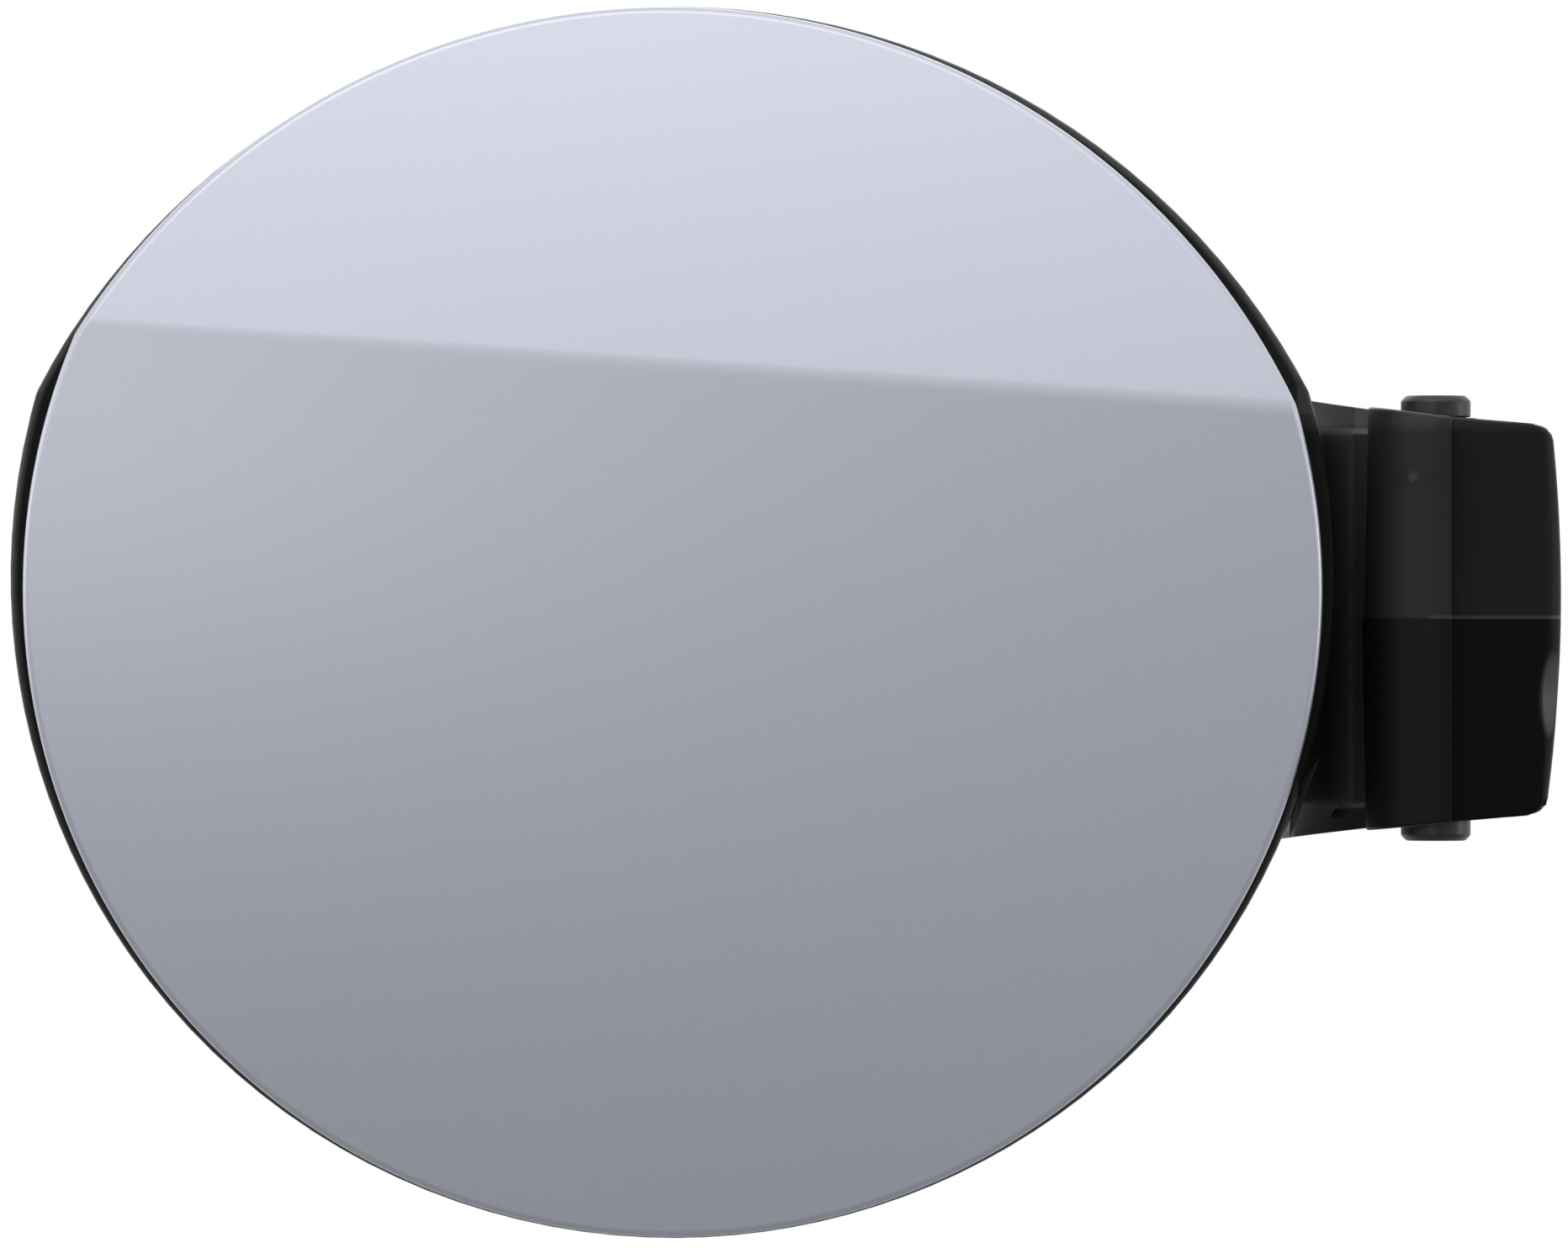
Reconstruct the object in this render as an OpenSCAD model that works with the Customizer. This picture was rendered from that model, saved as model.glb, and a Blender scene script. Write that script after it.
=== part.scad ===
// Car fuel door with its gooseneck hinge. A painted round cap with a crease across it
// snaps on to a black moulded carrier, and the carrier's arm turns on a steel pin that
// two bushes hold in the car's filler bowl. Lengths are in millimetres, +Z is up, the
// outer face looks towards -Y, and the origin is on the hinge axis at mid-height.

/* [Cap] */
// Distance from the hinge axis to the middle of the door
door_reach = 98.3; // [96:0.1:102]
// Distance from the hinge axis forward to the crest of the outer face
door_front = 14.6; // [13.6:0.1:16.6]
// Radius of the disc that bounds the cap below the crease
cap_lower_r = 83.4; // [80:0.1:85]
// Height of that disc's centre over the middle of the hinge
cap_lower_z = 3.7; // [2:0.1:5]
// Radius of the disc that bounds the cap above the crease
cap_upper_r = 89.1; // [87:0.1:91]
// How far that disc's centre lies below the other's
cap_upper_drop = 13.9; // [12:0.1:15]
// How far that disc's centre lies to the left of the other's
cap_upper_shift = 0.8; // [0:0.1:1.5]
// Thickness of the cap's skin
cap_skin = 2.2; // [1.8:0.1:2.5]
// Thickness of the wall that turns back round the cap's edge
cap_edge_wall = 1.8; // [1.4:0.1:2.4]
// Depth of that wall, measured back from the outer face
cap_edge_depth = 4.6; // [4:0.1:5.2]

/* [Outer face] */
// Height of the crease over the middle of the hinge, at the middle of the door
crease_z = 32.5; // [29:0.1:36]
// Angle by which the crease falls towards the hinge
crease_angle = 3.9; // [0:0.1:6]
// Radius that rounds the crease
crease_r = 8; // [7.6:0.1:12]
// Lean of the face just below the crease
lower_lean = 1.5; // [0:0.1:3]
// Radius of the face below the crease, in upright section
lower_curve_r = 480; // [400:10:900]
// Lean of the face just above the crease
upper_tilt = 17; // [12:0.5:20]
// Radius of the face above the crease, in upright section
upper_curve_r = 900; // [600:10:1500]
// Radius of the face from side to side
crown_r = 1500; // [1100:10:2500]

/* [Carrier] */
// Gap between the cap's edge wall and the carrier
cap_gap = 0.2; // [0.1:0.1:0.4]
// Thickness of the carrier's plate
plate_t = 2.2; // [1.8:0.1:2.8]
// How far the plate's lower disc is larger than the cap's
rim_lower_over = 1.8; // [1.2:0.1:2.4]
// How far the plate's lower disc lies higher than the cap's
rim_lower_rise = 1.5; // [0.5:0.1:1.6]
// How far the plate's upper disc is larger than the cap's
rim_upper_over = 2.8; // [2.6:0.1:3.4]
// How far the plate's upper disc lies lower than the cap's
rim_upper_sink = 2.6; // [2:0.1:3]
// Distance from the plate's edge in to the stiffening ring
ring_inset = 6; // [5:0.1:7]
// Thickness of the ribs and of the stiffening ring
rib_t = 1.8; // [1.4:0.1:2.4]
// Height of the ribs behind the plate
rib_h = 6; // [4:0.1:7]
// Distance between the upright ribs
rib_pitch = 32; // [31:0.5:34]

/* [Arm] */
// Radius of the hollow behind the barrel, which clears the edge of the car's skin
valley_r = 18.5; // [17.5:0.1:20]
// Wall of the gooseneck
arm_wall = 3; // [2.4:0.1:3.6]
// Half of the gooseneck's clear height, up to where its end chamfers start
arm_half = 24.1; // [22:0.1:25]
// Rise of its end chamfers
arm_chamfer = 4; // [3:0.1:5]
// Angle round the hinge axis at which the gooseneck ends behind the barrel
goose_end = 78; // [72:1:84]
// Height of the arm's upper edge at the hinge axis
arm_top = 26.1; // [25.5:0.1:26.3]
// Angle by which that edge rises towards the door
arm_top_spread = 7.6; // [6:0.1:9]
// Depth of the arm's lower edge at the hinge axis
arm_bottom = 26.4; // [25.5:0.1:26.5]
// Angle by which that edge falls towards the door
arm_bottom_spread = 6.2; // [5:0.1:9]
// How far the gussets run out along the plate
gusset_l = 38; // [30:1:44]
// Angle round the hinge axis of the wall that joins the gooseneck to the barrel
hub_end = 124; // [118:1:130]
// Thickness of the wall that joins the gooseneck to the barrel
hub_wall = 2.6; // [2:0.1:3.4]
// Radius of the hinge barrel
barrel_r = 9.5; // [9:0.1:10]
// Draft by which the barrel and the tail lean back from the parting line, up and down
draft = 1; // [0.5:0.1:1.5]
// How much thinner they are above the parting line
parting_step = 0.3; // [0.2:0.05:0.4]
// Half of the barrel's length, between the seats of the bushes
barrel_half = 25.8; // [25.8:0.1:26.4]
// Radius of those seats
seat_r = 5.1; // [5.1:0.1:5.6]
// Distance of the gate's mark to the left of the hinge axis
gate_x = 3.2; // [2:0.1:4]
// Height of the gate's mark over the middle of the hinge
gate_z = 18.1; // [14:0.1:20]
// Radius of the gate's mark
gate_r = 0.55; // [0.4:0.05:0.8]
// How far the gate's mark stands out
gate_h = 0.3; // [0.2:0.05:0.5]

/* [Tail] */
// Distance from the hinge axis to the end of the tail
tail_tip = 16.2; // [15.4:0.1:17]
// Distance from the hinge axis forward to the tail's face
tail_front = 6.2; // [5.9:0.1:6.8]
// Distance from the hinge axis to the shoulder where the tail's face begins
shoulder_x = 1.5; // [0.5:0.1:2.5]
// Angle by which the tail's face falls back towards its end
tail_lean = 6; // [4:0.5:7]
// Thickness of the tail's face
tail_wall = 2.4; // [2:0.1:2.8]
// Thickness of the lip that turns back at the tail's end
lip_wall = 2.6; // [2.2:0.1:3]
// Distance from the hinge axis back to the end of the lip
lip_back = 4; // [3:0.1:5]
// Radius round the tail's nose
nose_r = 3.1; // [2.8:0.1:3.4]
// Angle by which the tail's upper and lower edges run together
tail_taper = 4.8; // [4:0.1:7]
// Radius of the tail's bulging end, seen from in front
tail_end_r = 200; // [150:5:300]
// Height of that bulge
tail_end_z = 3; // [0:0.1:4]
// Radius of the tail's corners, seen from in front
tail_corner = 2.4; // [2:0.1:4]
// Radius of the thumb dish in the nose
dish_r = 20; // [14:0.5:24]
// Depth of the thumb dish
dish_depth = 0.9; // [0.4:0.1:1.2]
// Distance of the thumb dish below mid-height
dish_z = 10.5; // [8:0.5:12]

/* [Hinge pin and bushes] */
// Radius of the steel pin
pin_r = 2; // [1.6:0.1:2.2]
// Radial gap round the pin inside the arm
pin_clearance = 0.3; // [0.2:0.05:0.5]
// Radial gap between the pin and its bushes
bush_grip = 0.02; // [0.01:0.01:0.05]
// Radius of the sleeve of a bush, on which the arm turns
sleeve_r = 3.8; // [3.4:0.1:4.1]
// Length of that sleeve
sleeve_l = 6; // [4:0.1:9]
// Radial running gap of the arm on the sleeve
running_gap = 0.05; // [0.02:0.01:0.1]
// Radius of the head of a bush, which stands in the filler bowl
head_r = 4.5; // [4.4:0.1:5]
// Length of that head
head_l = 2.8; // [2:0.1:4]
// Chamfer that leads the head into the bowl
head_chamfer = 0.7; // [0.4:0.1:0.9]
// Play of the arm along the axis at each end
end_play = 0.1; // [0.05:0.05:0.3]
// How far the pin ends inside the heads
pin_recess = 0.5; // [0.2:0.1:1]

/* [Detent spring] */
// Thickness of the steel strip
spring_t = 0.5; // [0.4:0.05:0.7]
// Width of the strip
spring_w = 11; // [8:0.5:12]
// Gap between the strip and the lip
spring_gap = 0.1; // [0.05:0.05:0.2]
// How far the strip lies sunk in the lip
spring_sink = 0.4; // [0.3:0.05:0.5]
// Length of the strip's outer leg along the lip
spring_grip = 4.6; // [3:0.1:5]
// Height of the bend behind the lip
spring_bend = 3; // [2:0.1:5]

/* [Latch eye and cap holder] */
// Gap between the latch eye's foot and the stiffening ring
latch_gap = 0.6; // [0.4:0.1:2]
// Width of the latch eye's foot
latch_foot_w = 11; // [10:0.1:11.4]
// Height of the latch eye's foot
latch_foot_h = 34; // [33:0.5:36]
// Height of the foot that is left for a screw above and below the eye
latch_screw_land = 9; // [8:0.1:9]
// Height of the bosses under the latch eye
latch_boss_h = 4.5; // [3.5:0.1:6]
// Thickness of both feet
foot_t = 2.2; // [1.8:0.1:2.8]
// Clear height of the eye
eye_h = 9; // [8:0.1:10]
// Clear depth of the eye
eye_d = 8; // [7:0.1:10]
// Thickness of the eye's legs
eye_leg = 3.5; // [3:0.1:4]
// Radius of the eye's bar
eye_bar_r = 2.5; // [2:0.1:2.8]
// Width of the cap holder's foot
holder_w = 27; // [26:0.5:28]
// Height of the cap holder's foot
holder_h = 38; // [36:0.5:39]
// Clear width between the cap holder's rails
holder_slot = 15; // [13:0.5:16]
// Depth of the cap holder's rails
holder_rail_d = 10; // [8:0.5:13]
// Thickness of the rails
holder_rail_t = 2.2; // [1.8:0.1:2.6]
// Width of the rails' lips
holder_lip = 2.8; // [2:0.1:3.4]
// Height of the foot that is left for a screw above and below the rails
holder_screw_land = 7.2; // [6.8:0.1:8]
// Height of the bosses under the cap holder
holder_boss_h = 2; // [1.5:0.1:4]

/* [Screws and bump stops] */
// Radius of the screws' shanks
screw_r = 1.5; // [1.2:0.1:1.6]
// Radius of the screws' heads
screw_head_r = 2.9; // [2.6:0.1:3]
// Height of the screws' heads
screw_head_h = 1.9; // [1.6:0.1:2.2]
// Length of the screws below the head
screw_l = 6; // [5:0.1:6.4]
// Length of each slot in their cross recess
screw_slot_l = 3.2; // [2.4:0.1:3.6]
// Width of those slots
screw_slot_w = 0.7; // [0.5:0.1:0.9]
// Radius of the screw bosses
boss_r = 3.6; // [3.2:0.1:3.8]
// Radius of a bump stop's head
bump_r = 6; // [5:0.1:6.5]
// Height of a bump stop's head
bump_h = 6.5; // [5:0.1:8]
// Size of the edges that are broken on it
bump_edge = 0.7; // [0.4:0.1:0.9]
// Radius of a bump stop's stem
bump_stem_r = 2.8; // [2.4:0.1:3.2]
// Length of a bump stop's stem
bump_stem_l = 4.4; // [3.6:0.1:4.6]
// Wall of the boss round that stem
bump_boss_wall = 2.6; // [2:0.1:2.8]
// Height of that boss
bump_boss_h = 3.6; // [2.6:0.1:5]
// Distance of the bump stops in from the cap's edge
bump_inset = 16.5; // [16:0.5:19]

/* [Cap tongues] */
// Width of a tongue
tongue_w = 8; // [6:0.1:10]
// Thickness of a tongue
tongue_t = 1.7; // [1.4:0.1:2.2]
// How far a tongue's barb stands out
barb = 1.2; // [0.8:0.1:1.6]
// Distance of the tongues in from the cap's edge
tongue_inset = 14; // [12.6:0.1:15]
// Play of a tongue in its window
tongue_play = 0.4; // [0.3:0.1:0.6]
// Gap between a barb and the plate behind which it catches
catch_gap = 0.5; // [0.3:0.1:0.8]

/* [Hidden] */
$fn = 96;

// How far walls that grow out of a surface start inside it
weld = 0.6;
// Small lap for cuts that run past a face
lap = 1;
// The crease's rounding stands this proud of a true tangent arc
crease_ease = 0.02;
// Small gap between pieces that rest on each other or grip each other
screw_gap = 0.05;
stem_gap = 0.1;
// Facets used for the large revolved faces
face_fn = 480;
// How far the solids behind the face reach, back, down, up and to each side
face_back = 60;
face_down = 130;
face_up = 70;
face_half_angle = 4.6;

// How far back the outlines seen from in front are extruded
outline_back = 14;
// Angle round the hinge axis at which the gooseneck starts, inside the plate
goose_start = 222;

door_x = -door_reach;
plate_front = cap_edge_depth + cap_gap;
plate_back = plate_front + plate_t;
rib_back = plate_back + rib_h;

// Centres of the face's two arcs in upright section, seen from the crease's corner
lower_c = [-lower_curve_r * cos(lower_lean), -lower_curve_r * sin(lower_lean)];
upper_c = [-upper_curve_r * cos(upper_tilt), -upper_curve_r * sin(upper_tilt)];

function unit(v) = v / norm(v);

// The crossing of two circles that lies furthest along the first axis
function meet(c1, r1, c2, r2) =
    let (
        d = norm(c2 - c1),
        along = (r1 * r1 - r2 * r2 + d * d) / (2 * d),
        aside = sqrt(r1 * r1 - along * along),
        e = (c2 - c1) / d,
        n = [-e.y, e.x],
        a = c1 + along * e + aside * n,
        b = c1 + along * e - aside * n
    )
    a.x > b.x ? a : b;

crease_c = meet(lower_c, lower_curve_r - crease_r, upper_c, upper_curve_r - crease_r);
to_lower = unit(crease_c - lower_c);
to_upper = unit(crease_c - upper_c);

// Depth of the outer face behind its crest line, at a height above the crease
function drop(v) =
    let (
        c = v > 0 ? upper_c : lower_c,
        r = v > 0 ? upper_curve_r : lower_curve_r
    )
    -c.x - sqrt(r * r - (v - c.y) * (v - c.y));

// Y of the outer face at a place in the front view
function face_y(x, z) =
    let (
        dx = x - door_x,
        dz = z - crease_z,
        u = dx * cos(crease_angle) - dz * sin(crease_angle),
        v = dx * sin(crease_angle) + dz * cos(crease_angle),
        r = crown_r - drop(v)
    )
    -door_front + crown_r - sqrt(r * r - u * u);

// Distance from the door's middle to the cap's edge, in a direction
function disc_reach(a, c, r) =
    let (
        d = [cos(a), sin(a)],
        k = d * c
    )
    k + sqrt(k * k - c * c + r * r);
function edge_reach(a) =
    min(cap_lower_r, disc_reach(a, [-cap_upper_shift, -cap_upper_drop], cap_upper_r));

// Leftmost place inside the stiffening ring, at a height
function disc_left(z, x, centre_z, r) = x - sqrt(r * r - (z - centre_z) * (z - centre_z));
function ring_left(z) =
    max(
        disc_left(
            z, door_x, cap_lower_z + rim_lower_rise,
            cap_lower_r + rim_lower_over - ring_inset - rib_t
        ),
        disc_left(
            z, door_x, cap_lower_z - cap_upper_drop - rim_upper_sink,
            cap_upper_r + rim_upper_over - ring_inset - rib_t
        )
    );

// Place of the tail's bulging end, a hair inside the block it is cut from
end_ease = 0.1;
// The face crosses the nose's round this far inside it, so that the two never just touch
nose_ease = 0.05;
tail_end_x = tail_tip - end_ease;
// Directions of the bump stops from the door's middle, clear of the ribs
bump_angles = [128, 236];
// Directions of the tongues from the door's middle, clear of the ribs
tongue_angles = [30, 68, 112, 150, 210, 248, 292, 330];

// Heights of the four ribs that carry the gooseneck, the hub and the tail
rib_levels = [for (i = [-1.5, -0.5, 0.5, 1.5]) i * (arm_half - rib_t / 2) / 1.5];
// Sideways places of the upright ribs behind the plate
upright_xs = [for (i = [-1.5, -0.5, 0.5, 1.5]) door_x + i * rib_pitch];

valley_floor_r = valley_r + arm_wall;
tail_root = barrel_r - 3;
bush_bore_r = sleeve_r + running_gap;
pin_bore_r = pin_r + pin_clearance;
bush_hole_r = pin_r + bush_grip;
sleeve_inner_z = barrel_half + end_play - sleeve_l;
head_z = barrel_half + end_play + head_l;

// The latch eye and the cap holder stand on bosses at these depths
latch_pz = cap_lower_z;
latch_px = max([for (s = [-1, 1]) ring_left(latch_pz + s * latch_foot_h / 2)])
    + latch_gap + latch_foot_w / 2;
latch_seat = face_y(latch_px, latch_pz) + plate_back + latch_boss_h;
holder_px = door_x;
holder_pz = 0;
holder_seat = face_y(holder_px, -holder_h / 2) + plate_back + holder_boss_h;
latch_screw_z = (latch_foot_h - latch_screw_land) / 2;
holder_screw_z = (holder_h - holder_screw_land) / 2;
latch_screws = [for (s = [-1, 1]) [latch_px, latch_pz + s * latch_screw_z]];
holder_screws = [for (s = [-1, 1]) [holder_px, holder_pz + s * holder_screw_z]];

bump_places = [
    for (a = bump_angles)
        [door_x, cap_lower_z] + (edge_reach(a) - bump_inset) * [cos(a), sin(a)]
];
bump_boss_r = bump_stem_r + bump_boss_wall;
bump_seat = max([for (p = bump_places) face_y(p.x, p.y)]) + plate_back + bump_boss_h;

// Extrudes a front view, drawn in X and Z, from one depth to another
module along_y(front, back) {
    translate([0, back, 0])
        rotate([90, 0, 0])
            linear_extrude(front + back)
                children();
}

// Upright section of all that lies a given depth behind the outer face
module face_section(depth) {
    round_r = crease_r - depth;
    translate([crown_r, 0])
        difference() {
            intersection() {
                translate(lower_c)
                    circle(lower_curve_r - depth, $fn = face_fn);
                translate(upper_c)
                    circle(upper_curve_r - depth, $fn = face_fn);
                translate([-face_back, -face_down])
                    square([face_back + lap, face_down + face_up]);
            }
            if (round_r > 0.3)
                difference() {
                    polygon([
                        crease_c,
                        crease_c + round_r * to_lower,
                        crease_c + 1.2 * round_r * unit(to_lower + to_upper),
                        crease_c + round_r * to_upper
                    ]);
                    translate(crease_c)
                        circle(round_r + crease_ease);
                }
        }
}

// Solid of all that lies a given depth behind the outer face
module behind_face(depth) {
    translate([door_x, crown_r - door_front, crease_z])
        rotate([0, crease_angle, 0])
            rotate_extrude(angle = 2 * face_half_angle, start = 270 - face_half_angle, $fn = face_fn)
                face_section(depth);
}

module cap_outline(inset = 0) {
    intersection() {
        translate([door_x, cap_lower_z])
            circle(cap_lower_r - inset, $fn = 240);
        translate([door_x - cap_upper_shift, cap_lower_z - cap_upper_drop])
            circle(cap_upper_r - inset, $fn = 240);
    }
}

module rim_outline(inset = 0) {
    intersection() {
        translate([door_x, cap_lower_z + rim_lower_rise])
            circle(cap_lower_r + rim_lower_over - inset, $fn = 240);
        translate([door_x, cap_lower_z - cap_upper_drop - rim_upper_sink])
            circle(cap_upper_r + rim_upper_over - inset, $fn = 240);
    }
}

// Places its children on a line from the door's middle towards the cap's edge
module at_tongue(a) {
    translate([door_x, 0, cap_lower_z])
        rotate([0, -a, 0])
            translate([edge_reach(a) - tongue_inset, 0, 0])
                children();
}

module tongue(a) {
    reach = edge_reach(a) - tongue_inset;
    y = face_y(door_x + reach * cos(a), cap_lower_z + reach * sin(a));
    catch_y = y + plate_back + catch_gap;
    at_tongue(a)
        translate([0, 0, -tongue_w / 2])
            linear_extrude(tongue_w)
                polygon([
                    [0, y - lap],
                    [tongue_t, y - lap],
                    [tongue_t, catch_y + 2.2 * barb],
                    [tongue_t / 2, catch_y + 2.6 * barb],
                    [-barb, catch_y + 0.8 * barb],
                    [-barb, catch_y],
                    [0, catch_y]
                ]);
}

// Window in the plate through which a tongue passes
module tongue_window(a) {
    translate([door_x, cap_lower_z])
        rotate(a)
            translate([edge_reach(a) - tongue_inset - barb - tongue_play, -tongue_w / 2 - tongue_play])
                square([barb + tongue_t + 2 * tongue_play, tongue_w + 2 * tongue_play]);
}

module outer_panel() {
    color([0.76, 0.77, 0.81]) {
        difference() {
            intersection() {
                along_y(door_front + lap, outline_back)
                    cap_outline();
                behind_face(0);
            }
            behind_face(cap_edge_depth);
            intersection() {
                behind_face(cap_skin);
                along_y(door_front + 2 * lap, outline_back + lap)
                    cap_outline(cap_edge_wall);
            }
        }
        intersection() {
            union() {
                for (a = tongue_angles)
                    tongue(a);
            }
            behind_face(cap_skin - weld);
        }
    }
}

// The creased plate, whose edge shows round the cap
module carrier_plate() {
    difference() {
        intersection() {
            along_y(door_front + lap, outline_back)
                difference() {
                    rim_outline();
                    for (a = tongue_angles)
                        tongue_window(a);
                }
            behind_face(plate_front);
        }
        behind_face(plate_back);
    }
}

// Front view of the ribs: a ring inside the edge, four level ribs and four upright ones
module rib_plan() {
    difference() {
        rim_outline(ring_inset);
        rim_outline(ring_inset + rib_t);
    }
    intersection() {
        rim_outline(ring_inset + rib_t / 2);
        difference() {
            union() {
                for (z = [rib_levels[0], rib_levels[3]])
                    translate([-2 * door_reach, z - rib_t / 2])
                        square([2 * door_reach - valley_r, rib_t]);
                for (x = upright_xs)
                    translate([x - rib_t / 2, -2 * cap_upper_r])
                        square([rib_t, 4 * cap_upper_r]);
            }
            for (a = tongue_angles)
                tongue_window(a);
        }
    }
}

// Places its children at a place in the front view, along Y, from a depth backwards
module back_from(place, y) {
    translate([place.x, y, place.y])
        rotate([-90, 0, 0])
            children();
}

module carrier_bosses() {
    intersection() {
        union() {
            for (p = latch_screws)
                back_from(p, -door_front)
                    cylinder(r = boss_r, h = door_front + latch_seat);
            for (p = holder_screws)
                back_from(p, -door_front)
                    cylinder(r = boss_r, h = door_front + holder_seat);
            for (p = bump_places)
                back_from(p, -door_front)
                    cylinder(r = bump_boss_r, h = door_front + bump_seat);
        }
        behind_face(plate_back - weld);
    }
}

module carrier_boss_holes() {
    for (p = latch_screws)
        back_from(p, latch_seat - screw_l)
            cylinder(r = screw_r + screw_gap, h = screw_l + lap);
    for (p = holder_screws)
        back_from(p, holder_seat - screw_l)
            cylinder(r = screw_r + screw_gap, h = screw_l + lap);
    for (p = bump_places)
        back_from(p, bump_seat - bump_stem_l - stem_gap)
            cylinder(r = bump_stem_r + stem_gap, h = bump_stem_l + stem_gap + lap);
}

// Section of the gooseneck: its wall, chamfered down to the valley at both ends
module goose_section() {
    chamfer_t = arm_wall * 0.8;
    top = arm_half + 2 * arm_chamfer;
    polygon([
        [valley_r, -arm_half],
        [valley_r + chamfer_t, -arm_half - arm_chamfer],
        [valley_r + chamfer_t, -top],
        [valley_floor_r, -top],
        [valley_floor_r, top],
        [valley_r + chamfer_t, top],
        [valley_r + chamfer_t, arm_half + arm_chamfer],
        [valley_r, arm_half]
    ]);
}

// Front view of the whole arm: it widens towards the door and narrows towards the tail
module arm_outline() {
    left = -2 * valley_floor_r;
    right = tail_tip + lap;
    polygon([
        [left, left * tan(arm_bottom_spread) - arm_bottom],
        [0, -arm_bottom],
        [right, right * tan(tail_taper) - arm_bottom],
        [right, arm_top - right * tan(tail_taper)],
        [0, arm_top],
        [left, arm_top - left * tan(arm_top_spread)]
    ]);
}

module gooseneck() {
    intersection() {
        rotate_extrude(angle = goose_start - goose_end, start = goose_end)
            goose_section();
        along_y(valley_floor_r + lap, valley_floor_r + lap)
            arm_outline();
        behind_face(plate_back - weld);
    }
}

// Triangular ribs from the gooseneck's back out along the plate
module goose_gussets() {
    gusset_x = -valley_r - gusset_l;
    difference() {
        intersection() {
            union() {
                for (z = rib_levels)
                    translate([0, 0, z - rib_t / 2])
                        linear_extrude(rib_t)
                            polygon([
                                [-valley_r, -door_front],
                                [gusset_x, -door_front],
                                [gusset_x, face_y(gusset_x, z) + rib_back - lap],
                                [-valley_r - lap, valley_r / 2]
                            ]);
            }
            behind_face(plate_back - weld);
        }
        cylinder(r = valley_r + weld, h = 4 * barrel_half, center = true);
    }
}

// Ribbed hub that joins the gooseneck's end to the barrel
module hub() {
    hub_angle = 2 * asin(hub_wall / 2 / barrel_r);
    inner = barrel_r - 2 * weld - parting_step;
    rotate_extrude(angle = hub_angle, start = hub_end - hub_angle)
        translate([inner, -arm_half])
            square([valley_r + weld - inner, 2 * arm_half]);
    rotate_extrude(angle = hub_end - hub_angle / 2 - goose_end, start = goose_end)
        for (z = rib_levels)
            translate([inner, z - rib_t / 2])
                square([valley_r + weld - inner, rib_t]);
}

// Y of the tail's face, which leans back from the shoulder
function tail_y(x, front) = -front + (x - shoulder_x) * tan(tail_lean);
// Y of the middle of the tail's round nose
function nose_y(front) = tail_y(tail_tip - nose_r, front) + nose_r / cos(tail_lean) - nose_ease;

// Plan of the tail: the round nose, the lip that turns back, and some stock in front
module tail_plan(front) {
    inner_x = tail_tip - lip_wall;
    outer = 2 * nose_r;
    difference() {
        polygon([
            [tail_root, tail_y(tail_root, front) - weld],
            [tail_tip, tail_y(tail_tip, front) - weld],
            [tail_tip, lip_back],
            [tail_root, lip_back]
        ]);
        polygon([
            [tail_root - lap, tail_y(tail_root - lap, front) + tail_wall],
            [inner_x, tail_y(inner_x, front) + tail_wall],
            [inner_x, lip_back + lap],
            [tail_root - lap, lip_back + lap]
        ]);
        translate([tail_tip - nose_r, nose_y(front)])
            difference() {
                polygon([
                    [0, 0],
                    outer * [sin(tail_lean), -cos(tail_lean)],
                    [outer, -outer],
                    [outer, 0]
                ]);
                circle(nose_r);
            }
        translate([tail_tip - lip_wall / 2, lip_back - lip_wall / 2])
            difference() {
                square([lip_wall, lip_wall]);
                circle(lip_wall / 2);
            }
    }
}

// Front view of the tail's free end: it bulges, and its corners are round
module tail_outline() {
    difference() {
        translate([tail_end_x - tail_end_r, tail_end_z])
            circle(tail_end_r, $fn = face_fn);
        translate([-2 * tail_end_r, -2 * tail_end_r])
            square([2 * tail_end_r - barrel_r - lap, 4 * tail_end_r]);
        for (s = [-1, 1])
            tail_corner_cut(s);
    }
}

// What a round corner of the tail leaves out, at its upper or its lower end
module tail_corner_cut(s) {
    edge = s > 0 ? arm_top : arm_bottom;
    side_z = s * (edge - (tail_tip - tail_corner) * tan(tail_taper) - tail_corner / cos(tail_taper));
    side = side_z - tail_end_z;
    corner_x = tail_end_x - tail_end_r + sqrt(tail_end_r * tail_end_r - side * side) - tail_corner;
    difference() {
        translate([corner_x, s > 0 ? side_z : side_z - 3 * tail_corner])
            square([3 * tail_corner, 3 * tail_corner]);
        translate([corner_x, side_z])
            circle(tail_corner);
    }
}

spring_z = (rib_levels[1] + rib_levels[2]) / 2;
spring_pocket = spring_sink + spring_t + spring_gap;
spring_outer_x = tail_tip - spring_pocket + spring_gap;
spring_inner_x = tail_tip - lip_wall - spring_gap;

// Barrel and tail on one side of the parting line, drawn upwards
module arm_side(r, front) {
    side_h = arm_top + 2 * lap;
    difference() {
        union() {
            cylinder(r1 = r, r2 = r - side_h * tan(draft), h = side_h);
            linear_extrude(side_h)
                tail_plan(front);
        }
        translate([shoulder_x, -front, 0])
            rotate([-draft, 0, tail_lean])
                translate([0, -2 * barrel_r, -lap])
                    cube([2 * barrel_r, 2 * barrel_r, side_h + 3 * lap]);
    }
}

// Ribs inside the tail
module tail_ribs() {
    for (z = rib_levels)
        translate([barrel_r - 3 * weld, -tail_front + tail_wall, z - rib_t / 2])
            cube([
                tail_tip - lip_wall + 4 * weld - barrel_r,
                tail_front - tail_wall + lip_back / 2,
                rib_t
            ]);
}

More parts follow.
